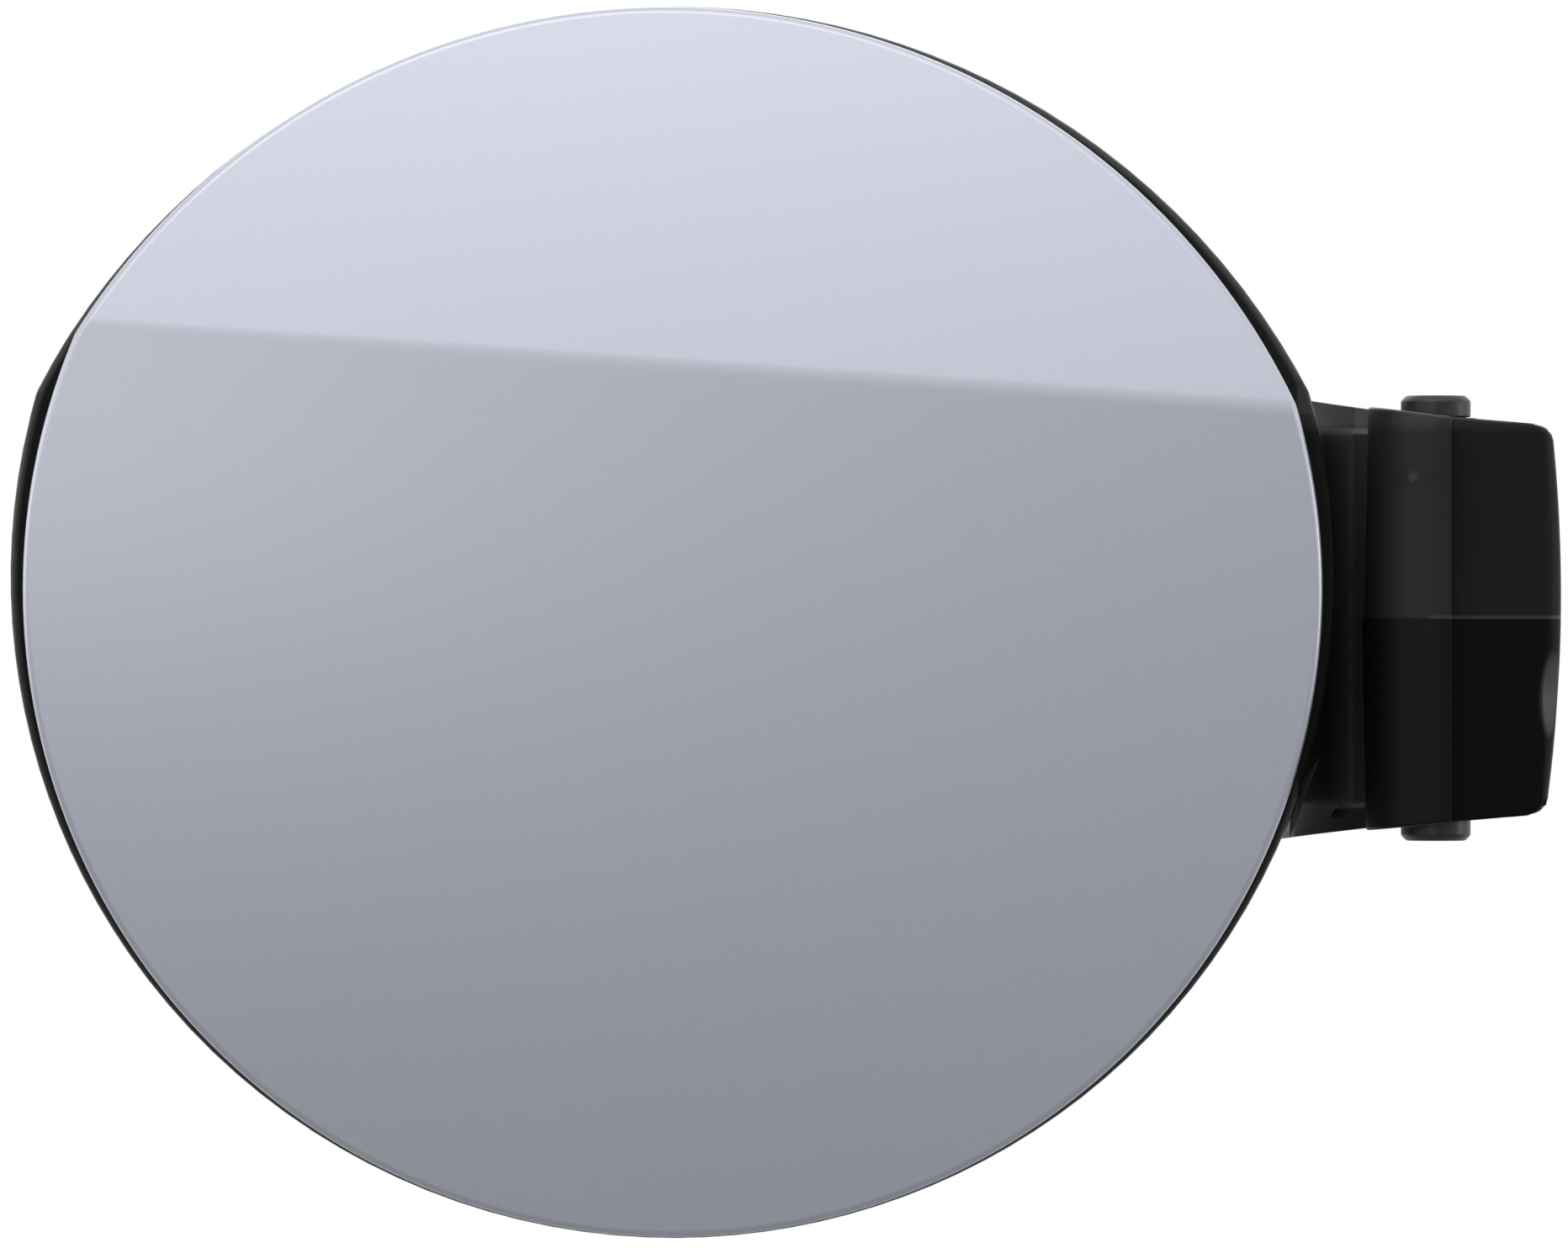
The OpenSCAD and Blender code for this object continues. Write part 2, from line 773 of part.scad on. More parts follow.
// Barrel and tail in one, cut to the arm's outline, with flat seats for the bushes
module barrel_and_tail() {
    seat_cut = 2 * lap;
    nose_side = (nose_r + dish_r - dish_depth) * cos(45);
    difference() {
        union() {
            intersection() {
                union() {
                    arm_side(barrel_r - parting_step, tail_front - parting_step);
                    mirror([0, 0, 1])
                        arm_side(barrel_r, tail_front);
                    tail_ribs();
                }
                along_y(barrel_r + lap, barrel_r + lap)
                    arm_outline();
                along_y(barrel_r + lap, barrel_r + lap)
                    tail_outline();
            }
            cylinder(r = seat_r, h = 2 * barrel_half, center = true);
        }
        for (s = [-1, 1])
            translate([0, 0, s * (barrel_half + seat_cut)])
                cylinder(r = seat_r, h = 2 * seat_cut, center = true);
        translate([
            tail_tip - nose_r + nose_side,
            nose_y(tail_front) - nose_side,
            -dish_z
        ])
            sphere(dish_r);
        translate([
            tail_tip - spring_pocket,
            lip_back - spring_grip - spring_gap,
            spring_z - spring_w / 2 - spring_gap
        ])
            cube([2 * spring_pocket, 2 * spring_grip, spring_w + 2 * spring_gap]);
    }
}

// Bores for the pin and for the sleeves of the bushes
module hinge_bores() {
    cylinder(r = pin_bore_r, h = 4 * barrel_half, center = true);
    for (s = [-1, 1])
        translate([0, 0, s * (sleeve_inner_z + barrel_half)])
            cylinder(r = bush_bore_r, h = 2 * barrel_half, center = true);
}

// Raised mark that the mould's gate leaves on the barrel
module gate_mark() {
    gate_barrel_r = barrel_r - parting_step - gate_z * tan(draft);
    skin = sqrt(gate_barrel_r * gate_barrel_r - gate_x * gate_x);
    translate([-gate_x, -skin / 2, gate_z])
        rotate([90, 0, 0])
            cylinder(r = gate_r, h = skin / 2 + gate_h);
}

module carrier() {
    color([0.2, 0.2, 0.21])
        difference() {
            union() {
                carrier_plate();
                difference() {
                    intersection() {
                        along_y(door_front + lap, outline_back)
                            rib_plan();
                        behind_face(plate_back - weld);
                    }
                    behind_face(rib_back);
                    cylinder(r = valley_r + weld, h = 4 * barrel_half, center = true);
                }
                carrier_bosses();
                gooseneck();
                goose_gussets();
                hub();
                barrel_and_tail();
                gate_mark();
            }
            carrier_boss_holes();
            hinge_bores();
        }
}

module hinge_pin() {
    color([0.7, 0.71, 0.73])
        cylinder(r = pin_r, h = 2 * (head_z - pin_recess), center = true);
}

// A bush, drawn at the upper end of the barrel
module bush() {
    rotate_extrude()
        polygon([
            [bush_hole_r, sleeve_inner_z + end_play],
            [sleeve_r, sleeve_inner_z + end_play],
            [sleeve_r, barrel_half + end_play],
            [head_r, barrel_half + end_play],
            [head_r, head_z - head_chamfer],
            [head_r - head_chamfer, head_z],
            [bush_hole_r, head_z]
        ]);
}

module upper_bush() {
    color([0.13, 0.13, 0.14])
        bush();
}

module lower_bush() {
    color([0.13, 0.13, 0.14])
        mirror([0, 0, 1])
            bush();
}

// A steel strip bent over the tail's lip
module detent_spring() {
    bend_c = (spring_inner_x + spring_outer_x) / 2;
    bend_r = (spring_outer_x - spring_inner_x) / 2;
    bend_y = lip_back + spring_bend - bend_r;
    start_y = lip_back - spring_grip;
    inner_start_y = start_y + spring_grip / 3;
    color([0.62, 0.63, 0.65])
        translate([0, 0, spring_z - spring_w / 2])
            linear_extrude(spring_w) {
                translate([spring_outer_x, start_y])
                    square([spring_t, bend_y - start_y]);
                translate([spring_inner_x - spring_t, inner_start_y])
                    square([spring_t, bend_y - inner_start_y]);
                translate([bend_c, bend_y])
                    intersection() {
                        difference() {
                            circle(bend_r + spring_t);
                            circle(bend_r);
                        }
                        translate([-2 * bend_r, 0])
                            square([4 * bend_r, 4 * bend_r]);
                    }
            }
}

// Front view of a foot with round corners
module foot_outline(w, h, r) {
    difference() {
        square([w, h], center = true);
        for (sx = [-1, 1])
            for (sz = [-1, 1])
                translate([sx * (w / 2 - r), sz * (h / 2 - r)])
                    difference() {
                        translate([sx > 0 ? 0 : -r - lap, sz > 0 ? 0 : -r - lap])
                            square([r + lap, r + lap]);
                        circle(r);
                    }
    }
}

// Foot plate with screw holes, its front face at a depth
module foot(place, y, w, h, screws) {
    difference() {
        translate([place.x, y + foot_t, place.y])
            rotate([90, 0, 0])
                linear_extrude(foot_t)
                    foot_outline(w, h, 2.5);
        for (p = screws)
            back_from(p, y - lap)
                cylinder(r = screw_r + 4 * screw_gap, h = foot_t + 2 * lap);
    }
}

module latch_eye() {
    back = latch_seat + foot_t;
    bar_y = back + eye_d + eye_bar_r;
    leg_r = eye_bar_r + 0.7;
    color([0.25, 0.25, 0.26]) {
        foot([latch_px, latch_pz], latch_seat, latch_foot_w, latch_foot_h, latch_screws);
        for (s = [-1, 1])
            translate([latch_px, 0, latch_pz + s * (eye_h + eye_leg) / 2]) {
                translate([-leg_r, back - weld, -eye_leg / 2])
                    cube([2 * leg_r, bar_y - back + weld, eye_leg]);
                translate([0, bar_y, 0])
                    cylinder(r = leg_r, h = eye_leg, center = true);
            }
        translate([latch_px, bar_y, latch_pz])
            cylinder(r = eye_bar_r, h = eye_h + eye_leg, center = true);
    }
}

module cap_holder() {
    back = holder_seat + foot_t;
    rail_h = holder_h - 2 * holder_screw_land;
    rail_x = holder_slot / 2;
    color([0.22, 0.22, 0.23]) {
        foot([holder_px, holder_pz], holder_seat, holder_w, holder_h, holder_screws);
        translate([holder_px, 0, holder_pz - rail_h / 2]) {
            linear_extrude(rail_h)
                for (s = [-1, 1])
                    scale([s, 1])
                        translate([rail_x, back - weld]) {
                            square([holder_rail_t, holder_rail_d + weld]);
                            translate([-holder_lip, holder_rail_d + weld - holder_rail_t])
                                square([holder_lip + holder_rail_t, holder_rail_t]);
                        }
            linear_extrude(holder_rail_t)
                translate([-rail_x - holder_rail_t / 2, back - weld])
                    square([2 * rail_x + holder_rail_t, holder_rail_d + weld]);
        }
    }
}

// A pan-head screw whose head's underside is at a depth
module screw(place, y) {
    back_from(place, y)
        difference() {
            union() {
                translate([0, 0, -screw_l])
                    cylinder(r1 = screw_r / 2, r2 = screw_r, h = screw_r);
                translate([0, 0, screw_r - screw_l])
                    cylinder(r = screw_r, h = screw_l);
                cylinder(r = screw_head_r, h = screw_head_h * 0.6);
                translate([0, 0, screw_head_h * 0.6])
                    cylinder(r1 = screw_head_r, r2 = screw_head_r * 0.7, h = screw_head_h * 0.4);
            }
            for (a = [0, 90])
                rotate(a)
                    translate([-screw_slot_l / 2, -screw_slot_w / 2, screw_head_h * 0.4])
                        cube([screw_slot_l, screw_slot_w, screw_head_h]);
        }
}

module inner_screws() {
    color([0.6, 0.61, 0.62]) {
        for (p = latch_screws)
            screw(p, latch_seat + foot_t + screw_gap);
        for (p = holder_screws)
            screw(p, holder_seat + foot_t + screw_gap);
    }
}

// A rubber stop: a stem in its boss and a tapered head with a round end
module bump_stop(place) {
    end_r = bump_r * 0.62;
    color([0.1, 0.1, 0.1])
        back_from(place, bump_seat)
            rotate_extrude()
                polygon([
                    [0, -bump_stem_l],
                    [bump_stem_r - bump_edge, -bump_stem_l],
                    [bump_stem_r, -bump_stem_l + bump_edge],
                    [bump_stem_r, stem_gap],
                    [bump_r, stem_gap],
                    [bump_r, 2 * bump_edge],
                    [end_r + bump_edge, bump_h - 1.5 * bump_edge],
                    [end_r, bump_h - 0.4 * bump_edge],
                    [end_r - 1.5 * bump_edge, bump_h],
                    [0, bump_h]
                ]);
}

module upper_bump_stop() {
    bump_stop(bump_places[0]);
}

module lower_bump_stop() {
    bump_stop(bump_places[1]);
}

outer_panel();
carrier();
hinge_pin();
upper_bush();
lower_bush();
detent_spring();
latch_eye();
cap_holder();
inner_screws();
upper_bump_stop();
lower_bump_stop();
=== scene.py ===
import math

import bmesh
import bpy
from mathutils import Matrix, Vector


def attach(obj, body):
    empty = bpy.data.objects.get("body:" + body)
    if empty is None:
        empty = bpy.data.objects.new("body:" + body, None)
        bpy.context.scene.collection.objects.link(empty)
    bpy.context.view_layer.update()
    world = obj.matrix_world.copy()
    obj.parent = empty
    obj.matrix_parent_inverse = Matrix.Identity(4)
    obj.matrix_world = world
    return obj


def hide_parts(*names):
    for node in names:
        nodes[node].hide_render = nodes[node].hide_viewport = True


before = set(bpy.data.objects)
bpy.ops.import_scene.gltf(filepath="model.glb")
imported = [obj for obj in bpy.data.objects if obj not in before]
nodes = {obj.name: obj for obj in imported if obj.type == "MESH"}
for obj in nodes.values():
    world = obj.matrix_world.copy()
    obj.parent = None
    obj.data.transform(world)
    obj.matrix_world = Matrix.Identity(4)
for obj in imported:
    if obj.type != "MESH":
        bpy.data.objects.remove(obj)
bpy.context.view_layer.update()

MM = 0.001

# Sizes of the cap, in millimetres, as the CAD has them
DOOR_X = -98.3
DOOR_FRONT = 14.6
LOWER_CENTRE = Vector((DOOR_X, 3.7))
LOWER_R = 83.4
UPPER_CENTRE = Vector((DOOR_X - 0.8, 3.7 - 13.9))
UPPER_R = 89.1
SKIN = 2.2
EDGE_WALL = 1.8
EDGE_DEPTH = 4.6
CREASE_Z = 32.5
CREASE_ANGLE = math.radians(3.9)
CREASE_R = 8
LOWER_LEAN = math.radians(1.5)
LOWER_CURVE_R = 480
UPPER_TILT = math.radians(17)
UPPER_CURVE_R = 900
CROWN_R = 1500

# Sizes of the black rim behind the cap, whose outline is two discs as well
RIM_LOWER_CENTRE = Vector((DOOR_X, 5.2))
RIM_LOWER_R = 85.2
RIM_UPPER_CENTRE = Vector((DOOR_X, -12.8))
RIM_UPPER_R = 91.9

# How the cap's painted edge is rounded
EDGE_ROUND = 0.9
BACK_ROUND = 0.35
ARC_STEPS = 6

# How finely the cap's face is divided: round its outline, and its rings as shares of it
OUTLINE_STEPS = 240
RING_SHARES = (
    0.985, 0.965, 0.94, 0.905, 0.865, 0.82, 0.77, 0.71, 0.645, 0.575, 0.5,
    0.42, 0.335, 0.25, 0.165, 0.085,
)

# Tongues of the cap
TONGUE_ANGLES = (30, 68, 112, 150, 210, 248, 292, 330)
TONGUE_W = 8
TONGUE_T = 1.7
TONGUE_BARB = 1.2
TONGUE_INSET = 14
CATCH_DEPTH = 7.5


# Curves of the cap's face

def unit(v):
    return v / v.length


def crossing(c1, r1, c2, r2):
    """The crossing of two circles that lies furthest along the first axis."""
    d = (c2 - c1).length
    along = (r1 * r1 - r2 * r2 + d * d) / (2 * d)
    aside = math.sqrt(r1 * r1 - along * along)
    e = (c2 - c1) / d
    n = Vector((-e.y, e.x))
    return max((c1 + along * e + aside * n, c1 + along * e - aside * n), key=lambda p: p.x)


lower_c = -LOWER_CURVE_R * Vector((math.cos(LOWER_LEAN), math.sin(LOWER_LEAN)))
upper_c = -UPPER_CURVE_R * Vector((math.cos(UPPER_TILT), math.sin(UPPER_TILT)))
crease_c = crossing(lower_c, LOWER_CURVE_R - CREASE_R, upper_c, UPPER_CURVE_R - CREASE_R)
to_lower = unit(crease_c - lower_c)
to_upper = unit(crease_c - upper_c)


def along_crease(x, z):
    """A place in the front view, measured along the crease and up from it."""
    dx, dz = x - DOOR_X, z - CREASE_Z
    return (
        dx * math.cos(CREASE_ANGLE) - dz * math.sin(CREASE_ANGLE),
        dx * math.sin(CREASE_ANGLE) + dz * math.cos(CREASE_ANGLE),
    )


def section_x(v, depth):
    """How far the upright section stands forward at a height over the crease."""
    arcs = (
        (crease_c + (CREASE_R - depth) * to_lower, lower_c, LOWER_CURVE_R - depth),
        (crease_c + (CREASE_R - depth) * to_upper, crease_c, CREASE_R - depth),
    )
    for end, centre, radius in arcs:
        if v <= end.y:
            return centre.x + math.sqrt(max(radius * radius - (v - centre.y) ** 2, 0))
    radius = UPPER_CURVE_R - depth
    return upper_c.x + math.sqrt(radius * radius - (v - upper_c.y) ** 2)


def face_y(x, z, depth=0):
    """Y of the surface that lies a depth behind the cap's face."""
    u, v = along_crease(x, z)
    r = CROWN_R + section_x(v, depth)
    return CROWN_R - DOOR_FRONT - math.sqrt(r * r - u * u)


def face_normal(x, z):
    h = 0.02
    slope_x = (face_y(x + h, z) - face_y(x - h, z)) / (2 * h)
    slope_z = (face_y(x, z + h) - face_y(x, z - h)) / (2 * h)
    return Vector((slope_x, -1, slope_z)).normalized()


# Outline of the cap: two discs that cross near the ends of the crease

def disc_reach(direction, centre, radius):
    """How far a disc reaches in a direction, from the centre of the cap's lower disc."""
    offset = centre - LOWER_CENTRE
    k = direction.dot(offset)
    return k + math.sqrt(k * k - offset.length_squared + radius * radius)


def kinks(inset):
    """The two corners where the discs of the outline cross, right one first."""
    right = crossing(LOWER_CENTRE, LOWER_R - inset, UPPER_CENTRE, UPPER_R - inset)
    left = crossing(
        Vector((-LOWER_CENTRE.x, LOWER_CENTRE.y)), LOWER_R - inset,
        Vector((-UPPER_CENTRE.x, UPPER_CENTRE.y)), UPPER_R - inset,
    )
    return right, Vector((-left.x, left.y))


class Rim:
    """A place on the cap's outline, which can be moved in from the edge."""

    def __init__(self, place):
        ways = [(place - c).length - (r - EDGE_ROUND)
                for c, r in ((LOWER_CENTRE, LOWER_R), (UPPER_CENTRE, UPPER_R))]
        corners = [(place - k).length for k in kinks(EDGE_ROUND)]
        self.corner = corners.index(min(corners)) if min(corners) < 0.2 else None
        self.centre, self.radius = (
            (LOWER_CENTRE, LOWER_R) if ways[0] > ways[1] else (UPPER_CENTRE, UPPER_R)
        )
        self.way = unit(place - self.centre)

    def at(self, inset):
        if self.corner is not None:
            return kinks(inset)[self.corner]
        return self.centre + (self.radius - inset) * self.way


# Sizes of the arm's tail, as the CAD has them, and the plane at which its free end starts
ARM_TOP = 26.1
ARM_BOTTOM = 26.4
TAPER = math.radians(4.8)
TAIL_TIP = 16.2
END_EASE = 0.1
END_R = 200
END_Z = 3
CORNER_R = 2.4
SHOULDER_X = 1.5
TAIL_LEAN = math.radians(6)
TAIL_FRONT = 6.2
PARTING_STEP = 0.3
DRAFT = math.radians(1)
TAIL_WALL = 2.4
LIP_WALL = 2.6
LIP_BACK = 4
NOSE_R = 3.1
NOSE_EASE = 0.05
DISH_R = 20
DISH_DEPTH = 0.9
DISH_Z = -10.5
RIB_T = 1.8
RIB_LEVELS = (-23.2, -23.2 / 3, 23.2 / 3, 23.2)
RIB_FRONT = -3.8
RIB_BACK = 2
SPRING_HALF = 5.6
SPRING_POCKET_X = 15.2
SPRING_POCKET_Y = -0.7
POCKET_AREA_X = 14
POCKET_AREA_Z = 8
TAIL_CUT_X = 9.7
TAIL_ROUND = 0.4
# How much of the lip, and of the wall under it, is left where the corners are rounded off
CORNER_LIP = 0.5
CORNER_WALL = 1.2


def tail_y(x, front):
    """Y of the tail's face, which leans back towards its free end."""
    return -front + (x - SHOULDER_X) * math.tan(TAIL_LEAN)


def nose_centre(front):
    """The middle of the round at the tail's nose."""
    x = TAIL_TIP - NOSE_R
    return Vector((x, tail_y(x, front) + NOSE_R / math.cos(TAIL_LEAN) - NOSE_EASE))


def dish_centre():
    """The middle of the ball that cuts the thumb dish into the nose."""
    away = (NOSE_R + DISH_R - DISH_DEPTH) * math.sqrt(0.5)
    nose = nose_centre(TAIL_FRONT)
    return Vector((nose.x + away, nose.y - away, DISH_Z))


# Helpers for meshes

def new_piece(name, bm, body, material, replaced=()):
    """Turns a bmesh in millimetres into a piece of the object."""
    bmesh.ops.scale(bm, vec=(MM, MM, MM), verts=bm.verts)
    mesh = bpy.data.meshes.new(name)
    bm.to_mesh(mesh)
    bm.free()
    mesh.materials.append(material)
    piece = bpy.data.objects.new(name, mesh)
    bpy.context.scene.collection.objects.link(piece)
    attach(piece, body)
    if replaced:
        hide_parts(*replaced)
    return piece


def smooth(bm, on=True):
    for face in bm.faces:
        face.smooth = on


def extrude_ring(bm, edges):
    """Extrudes a closed ring of edges and returns the new edges and each new vertex's old one."""
    before = {v: v.co.copy() for e in edges for v in e.verts}
    made = bmesh.ops.extrude_edge_only(bm, edges=edges)["geom"]
    new_edges = [g for g in made if isinstance(g, bmesh.types.BMEdge)]
    fresh = [g for g in made if isinstance(g, bmesh.types.BMVert)]
    by_place = {tuple(round(c, 5) for c in co): v for v, co in before.items()}
    sources = {v: by_place[tuple(round(c, 5) for c in v.co)] for v in fresh}
    ring = [e for e in new_edges if all(v in sources for v in e.verts)]
    return ring, sources


# Materials

# The arm starts here; its lower mould half is smoother than the upper, and is painted darker, as
# painted shade
ARM_START = -9.9
# Where the gooseneck starts, the radii between which it is hollow, and where its edges start
NECK_START = -18
HOLLOW_R = 18.8
HUB_R = 11
EDGE_Z = 24.6
# How far the rubbed edge of the rim reaches in, and the gate mark's place
RIM_POLISH = 0.8
GATE = Vector((-3.2, -8.4, 18.1))
# Y of the rim's back where the gooseneck starts, and how far to the right the rim reaches
RIM_BACK = -5.1
RIM_END = -10


class Value:
    """A socket on which sums can be written as plain expressions."""

    def __init__(self, graph, socket):
        self.graph = graph
        self.socket = socket

    def combine(self, operation, first, second):
        return self.graph.node(
            "ShaderNodeMath", {"operation": operation}, {0: first, 1: second}
        )[0]

    def __add__(self, other):
        return self.combine("ADD", self, other)

    def __radd__(self, other):
        return self.combine("ADD", other, self)

    def __sub__(self, other):
        return self.combine("SUBTRACT", self, other)

    def __rsub__(self, other):
        return self.combine("SUBTRACT", other, self)

    def __mul__(self, other):
        return self.combine("MULTIPLY", self, other)

    def __rmul__(self, other):
        return self.combine("MULTIPLY", other, self)


class Outputs:
    """The outputs of a node, by name or number."""

    def __init__(self, graph, node):
        self.graph = graph
        self.made = node

    def __getitem__(self, key):
        return Value(self.graph, self.made.outputs[key])


class Graph:
    """Nodes of a material or of the world."""

    def __init__(self, tree):
        self.tree = tree

    def set(self, node, values):
        for key, value in values.items():
            name = key.replace("_", " ") if isinstance(key, str) else key
            if isinstance(value, Value):
                self.tree.links.new(value.socket, node.inputs[name])
            else:
                node.inputs[name].default_value = value

    def node(self, kind, settings, values):
        node = self.tree.nodes.new(kind)
        for key, value in settings.items():
            if key == "stops":
                self.set_stops(node.color_ramp, value)
            else:
                setattr(node, key, value)
        self.set(node, values)
        return Outputs(self, node)

    def set_stops(self, ramp, stops):
        while len(ramp.elements) < len(stops):
            ramp.elements.new(1)
        for element, (position, level) in zip(ramp.elements, stops):
            element.position = position
            element.color = (level, level, level, 1)

    def ramp(self, value, *stops):
        return self.node("ShaderNodeValToRGB", {"stops": stops}, {0: value})["Color"]


class Paint(Graph):
    """A material under construction."""

    def __init__(self, name, **constants):
        self.material = bpy.data.materials.new(name)
        self.material.use_nodes = True
        super().__init__(self.material.node_tree)
        self.shader = self.tree.nodes["Principled BSDF"]
        self.place = self.node("ShaderNodeTexCoord", {}, {})["Object"]
        self.set(self.shader, constants)

    def feed(self, **values):
        """Links or sets sockets of the main shader."""
        self.set(self.shader, values)
        return self

    def noise(self, size, detail=3, roughness=0.5):
        """Noise whose lumps are about a given size in metres, from 0 to 1."""
        return self.node(
            "ShaderNodeTexNoise", {},
            {"Vector": self.place, "Scale": 1 / size, "Detail": detail, "Roughness": roughness},
        )["Fac"]

    def cells(self, size):
        """Cells of about a given size in metres, each with its own value and colour."""
        return self.node("ShaderNodeTexVoronoi", {}, {"Vector": self.place, "Scale": 1 / size})

    def tint(self, factor, first, second):
        ends = [c if isinstance(c, Value) else (*c, 1) for c in (first, second)]
        return self.node(
            "ShaderNodeMix", {"data_type": "RGBA"}, {0: factor, 6: ends[0], 7: ends[1]}
        )[2]

    def step(self, value, edge, blur):
        """1 below an edge and 0 above it, or the other way round where the blur is negative."""
        return self.node(
            "ShaderNodeMapRange", {}, {0: value, 1: edge - blur, 2: edge + blur, 3: 1.0, 4: 0.0}
        )[0]

    def length(self, vector):
        return self.node(
            "ShaderNodeVectorMath", {"operation": "LENGTH"}, {0: vector}
        )["Value"]

    def away(self, centre, vector=None):
        """The way from a fixed place, in metres, to the point that is painted."""
        return self.node(
            "ShaderNodeVectorMath", {"operation": "SUBTRACT"},
            {0: vector or self.place, 1: centre},
        )[0]

    def clamp(self, value):
        return self.node("ShaderNodeClamp", {}, {0: value})[0]

    def bump(self, height, distance, strength=1.0):
        normal = self.node(
            "ShaderNodeBump", {},
            {"Height": height, "Distance": distance, "Strength": strength},
        )["Normal"]
        return self.feed(Normal=normal)


def grey(level, warm=0.0):
    """A grey as red, green and blue, a little warmer or cooler if wanted."""
    return (level * (1 + warm), level, level * (1 - warm))


def make_body_paint():
    """Silver metallic paint: fine flakes under a smooth clear coat."""
    paint = Paint("body_paint", Coat_Weight=0.6, Coat_Roughness=0.24, IOR=1.5)
    flakes = paint.cells(0.00016)["Color"]
    flake = paint.node("ShaderNodeSeparateColor", {}, {0: flakes})[0]
    cloud = paint.noise(0.03, 2)
    shade = flake * 0.14 + cloud * 0.04
    colour = paint.tint(shade, (0.50, 0.52, 0.60), (0.68, 0.70, 0.76))
    paint.feed(Base_Color=colour, Metallic=0.8, Roughness=flake * 0.06 + 0.38)
    return paint.bump(paint.noise(0.0022, 1), 0.000004, 0.35).material


def make_black_moulding():
    """Black glass-filled moulding: its polish differs between the parts of the mould. Its colour also
    carries painted shade on the rim and on the arm's lower half, painted light in the gooseneck's
    hollow, and a partly painted highlight along the parting line and at the gate mark.
    """
    paint = Paint("black_moulding", IOR=1.45, Specular_IOR_Level=0.11, Coat_Roughness=0.42)
    fine = paint.noise(0.00035, 3)
    flow = paint.noise(0.014, 3, 0.6)
    place = paint.node("ShaderNodeSeparateXYZ", {}, {0: paint.place})
    below = paint.step(place["Z"], 0.0, 0.00005)
    on_arm = paint.step(place["X"], ARM_START * MM, -0.0002)
    on_tail = paint.step(place["X"], SHOULDER_X * MM, -0.0002)
    on_neck = paint.step(place["X"], NECK_START * MM, -0.0002)
    upper_edge = on_neck * paint.step(place["Z"], EDGE_Z * MM, -0.0008)

    # The hollow of the gooseneck is dull and painted paler, as painted light that stands in for light
    # reaching into it, and paler still where it is deep and most shaded
    axis = paint.node("ShaderNodeCombineXYZ", {}, {0: place["X"], 1: place["Y"]})[0]
    from_axis = paint.length(axis)
    hollow = paint.step(from_axis, HOLLOW_R * MM, 0.00005) - paint.step(from_axis, HUB_R * MM, 0.0002)
    behind_rim = 1 - paint.step(place["Y"], RIM_BACK * MM, 0.0002)
    in_hollow = hollow * behind_rim * paint.step(place["X"], -2 * MM, 0.0002)
    depth = paint.node(
        "ShaderNodeMapRange", {}, {0: place["X"], 1: -0.0135, 2: -0.0105, 3: 0.0, 4: 1.0}
    )[0]
    hollow_painted_light = paint.tint(depth, grey(0.014), grey(0.05))

    # Rubbed shiny: the thumb dish, the rim's outer edge, the parting line and the gate mark. The
    # parting line and the gate mark are also painted paler: partly the pale flash of a witness line
    # and a torn gate, partly a painted highlight
    from_dish = paint.length(paint.away(dish_centre() * MM))
    in_dish = paint.step(from_dish, (DISH_R + 0.25) * MM, 0.00015)
    front = paint.node("ShaderNodeCombineXYZ", {}, {0: place["X"], 1: place["Z"]})[0]
    inner = 1
    behind_cap = 1
    for centre, radius in (
        (RIM_LOWER_CENTRE, RIM_LOWER_R), (RIM_UPPER_CENTRE, RIM_UPPER_R)
    ):
        from_centre = paint.length(paint.away(Vector((*centre, 0)) * MM, front))
        inner = paint.step(from_centre, (radius - RIM_POLISH) * MM, 0.0003) * inner
        behind_cap = paint.step(from_centre, (radius - 3) * MM, 0.0008) * behind_cap
    on_rim = (1 - inner) * (1 - on_neck)
    level = paint.node("ShaderNodeMath", {"operation": "ABSOLUTE"}, {0: place["Z"] - 0.00012})[0]
    on_parting = paint.step(level, 0.00022, 0.00008) * (1 - paint.step(place["X"], -0.001, 0.0005))
    in_gate = paint.step(paint.length(paint.away(GATE * MM)), 0.0007, 0.0002)

    # The outer band of the plate, the rim that shows round the cap, is painted darker than the rest,
    # as painted shade of the gap under the cap's edge
    rim = paint.tint(flow, grey(0.003), grey(0.006))
    back = paint.tint(flow, grey(0.009), grey(0.015))
    plate = paint.tint(behind_cap, rim, back)
    upper_half = paint.tint(flow, grey(0.007), grey(0.012, -0.02))
    upper_hub = paint.tint(flow, grey(0.011), grey(0.017, -0.02))
    upper = paint.tint(on_tail, upper_hub, upper_half)
    # The lower half is painted darker than the upper, as painted shade, darkest on the tail
    lower = paint.tint(on_tail, grey(0.004), grey(0.0012))
    arm = paint.tint(below, upper, lower)
    # A paler line and spot on the arm: partly witness line and gate, partly a painted highlight
    marks = paint.clamp(on_parting + in_gate)
    arm_with_witness_and_highlight = paint.tint(marks, arm, grey(0.025))
    body = paint.tint(on_arm, plate, arm_with_witness_and_highlight)
    colour = paint.tint(in_hollow, body, hollow_painted_light)
    polish = (
        (on_arm - on_tail) * (0.22 - below * 0.16)
        + upper_edge * 0.5 + in_dish * 0.75 + on_rim * 0.8 + marks * 0.4
    )
    paint.feed(Base_Color=colour, Coat_Weight=paint.clamp(polish))
    paint.feed(Roughness=fine * 0.12 + flow * 0.1 + 0.34)
    return paint.bump(fine, 0.000018, 0.5).material


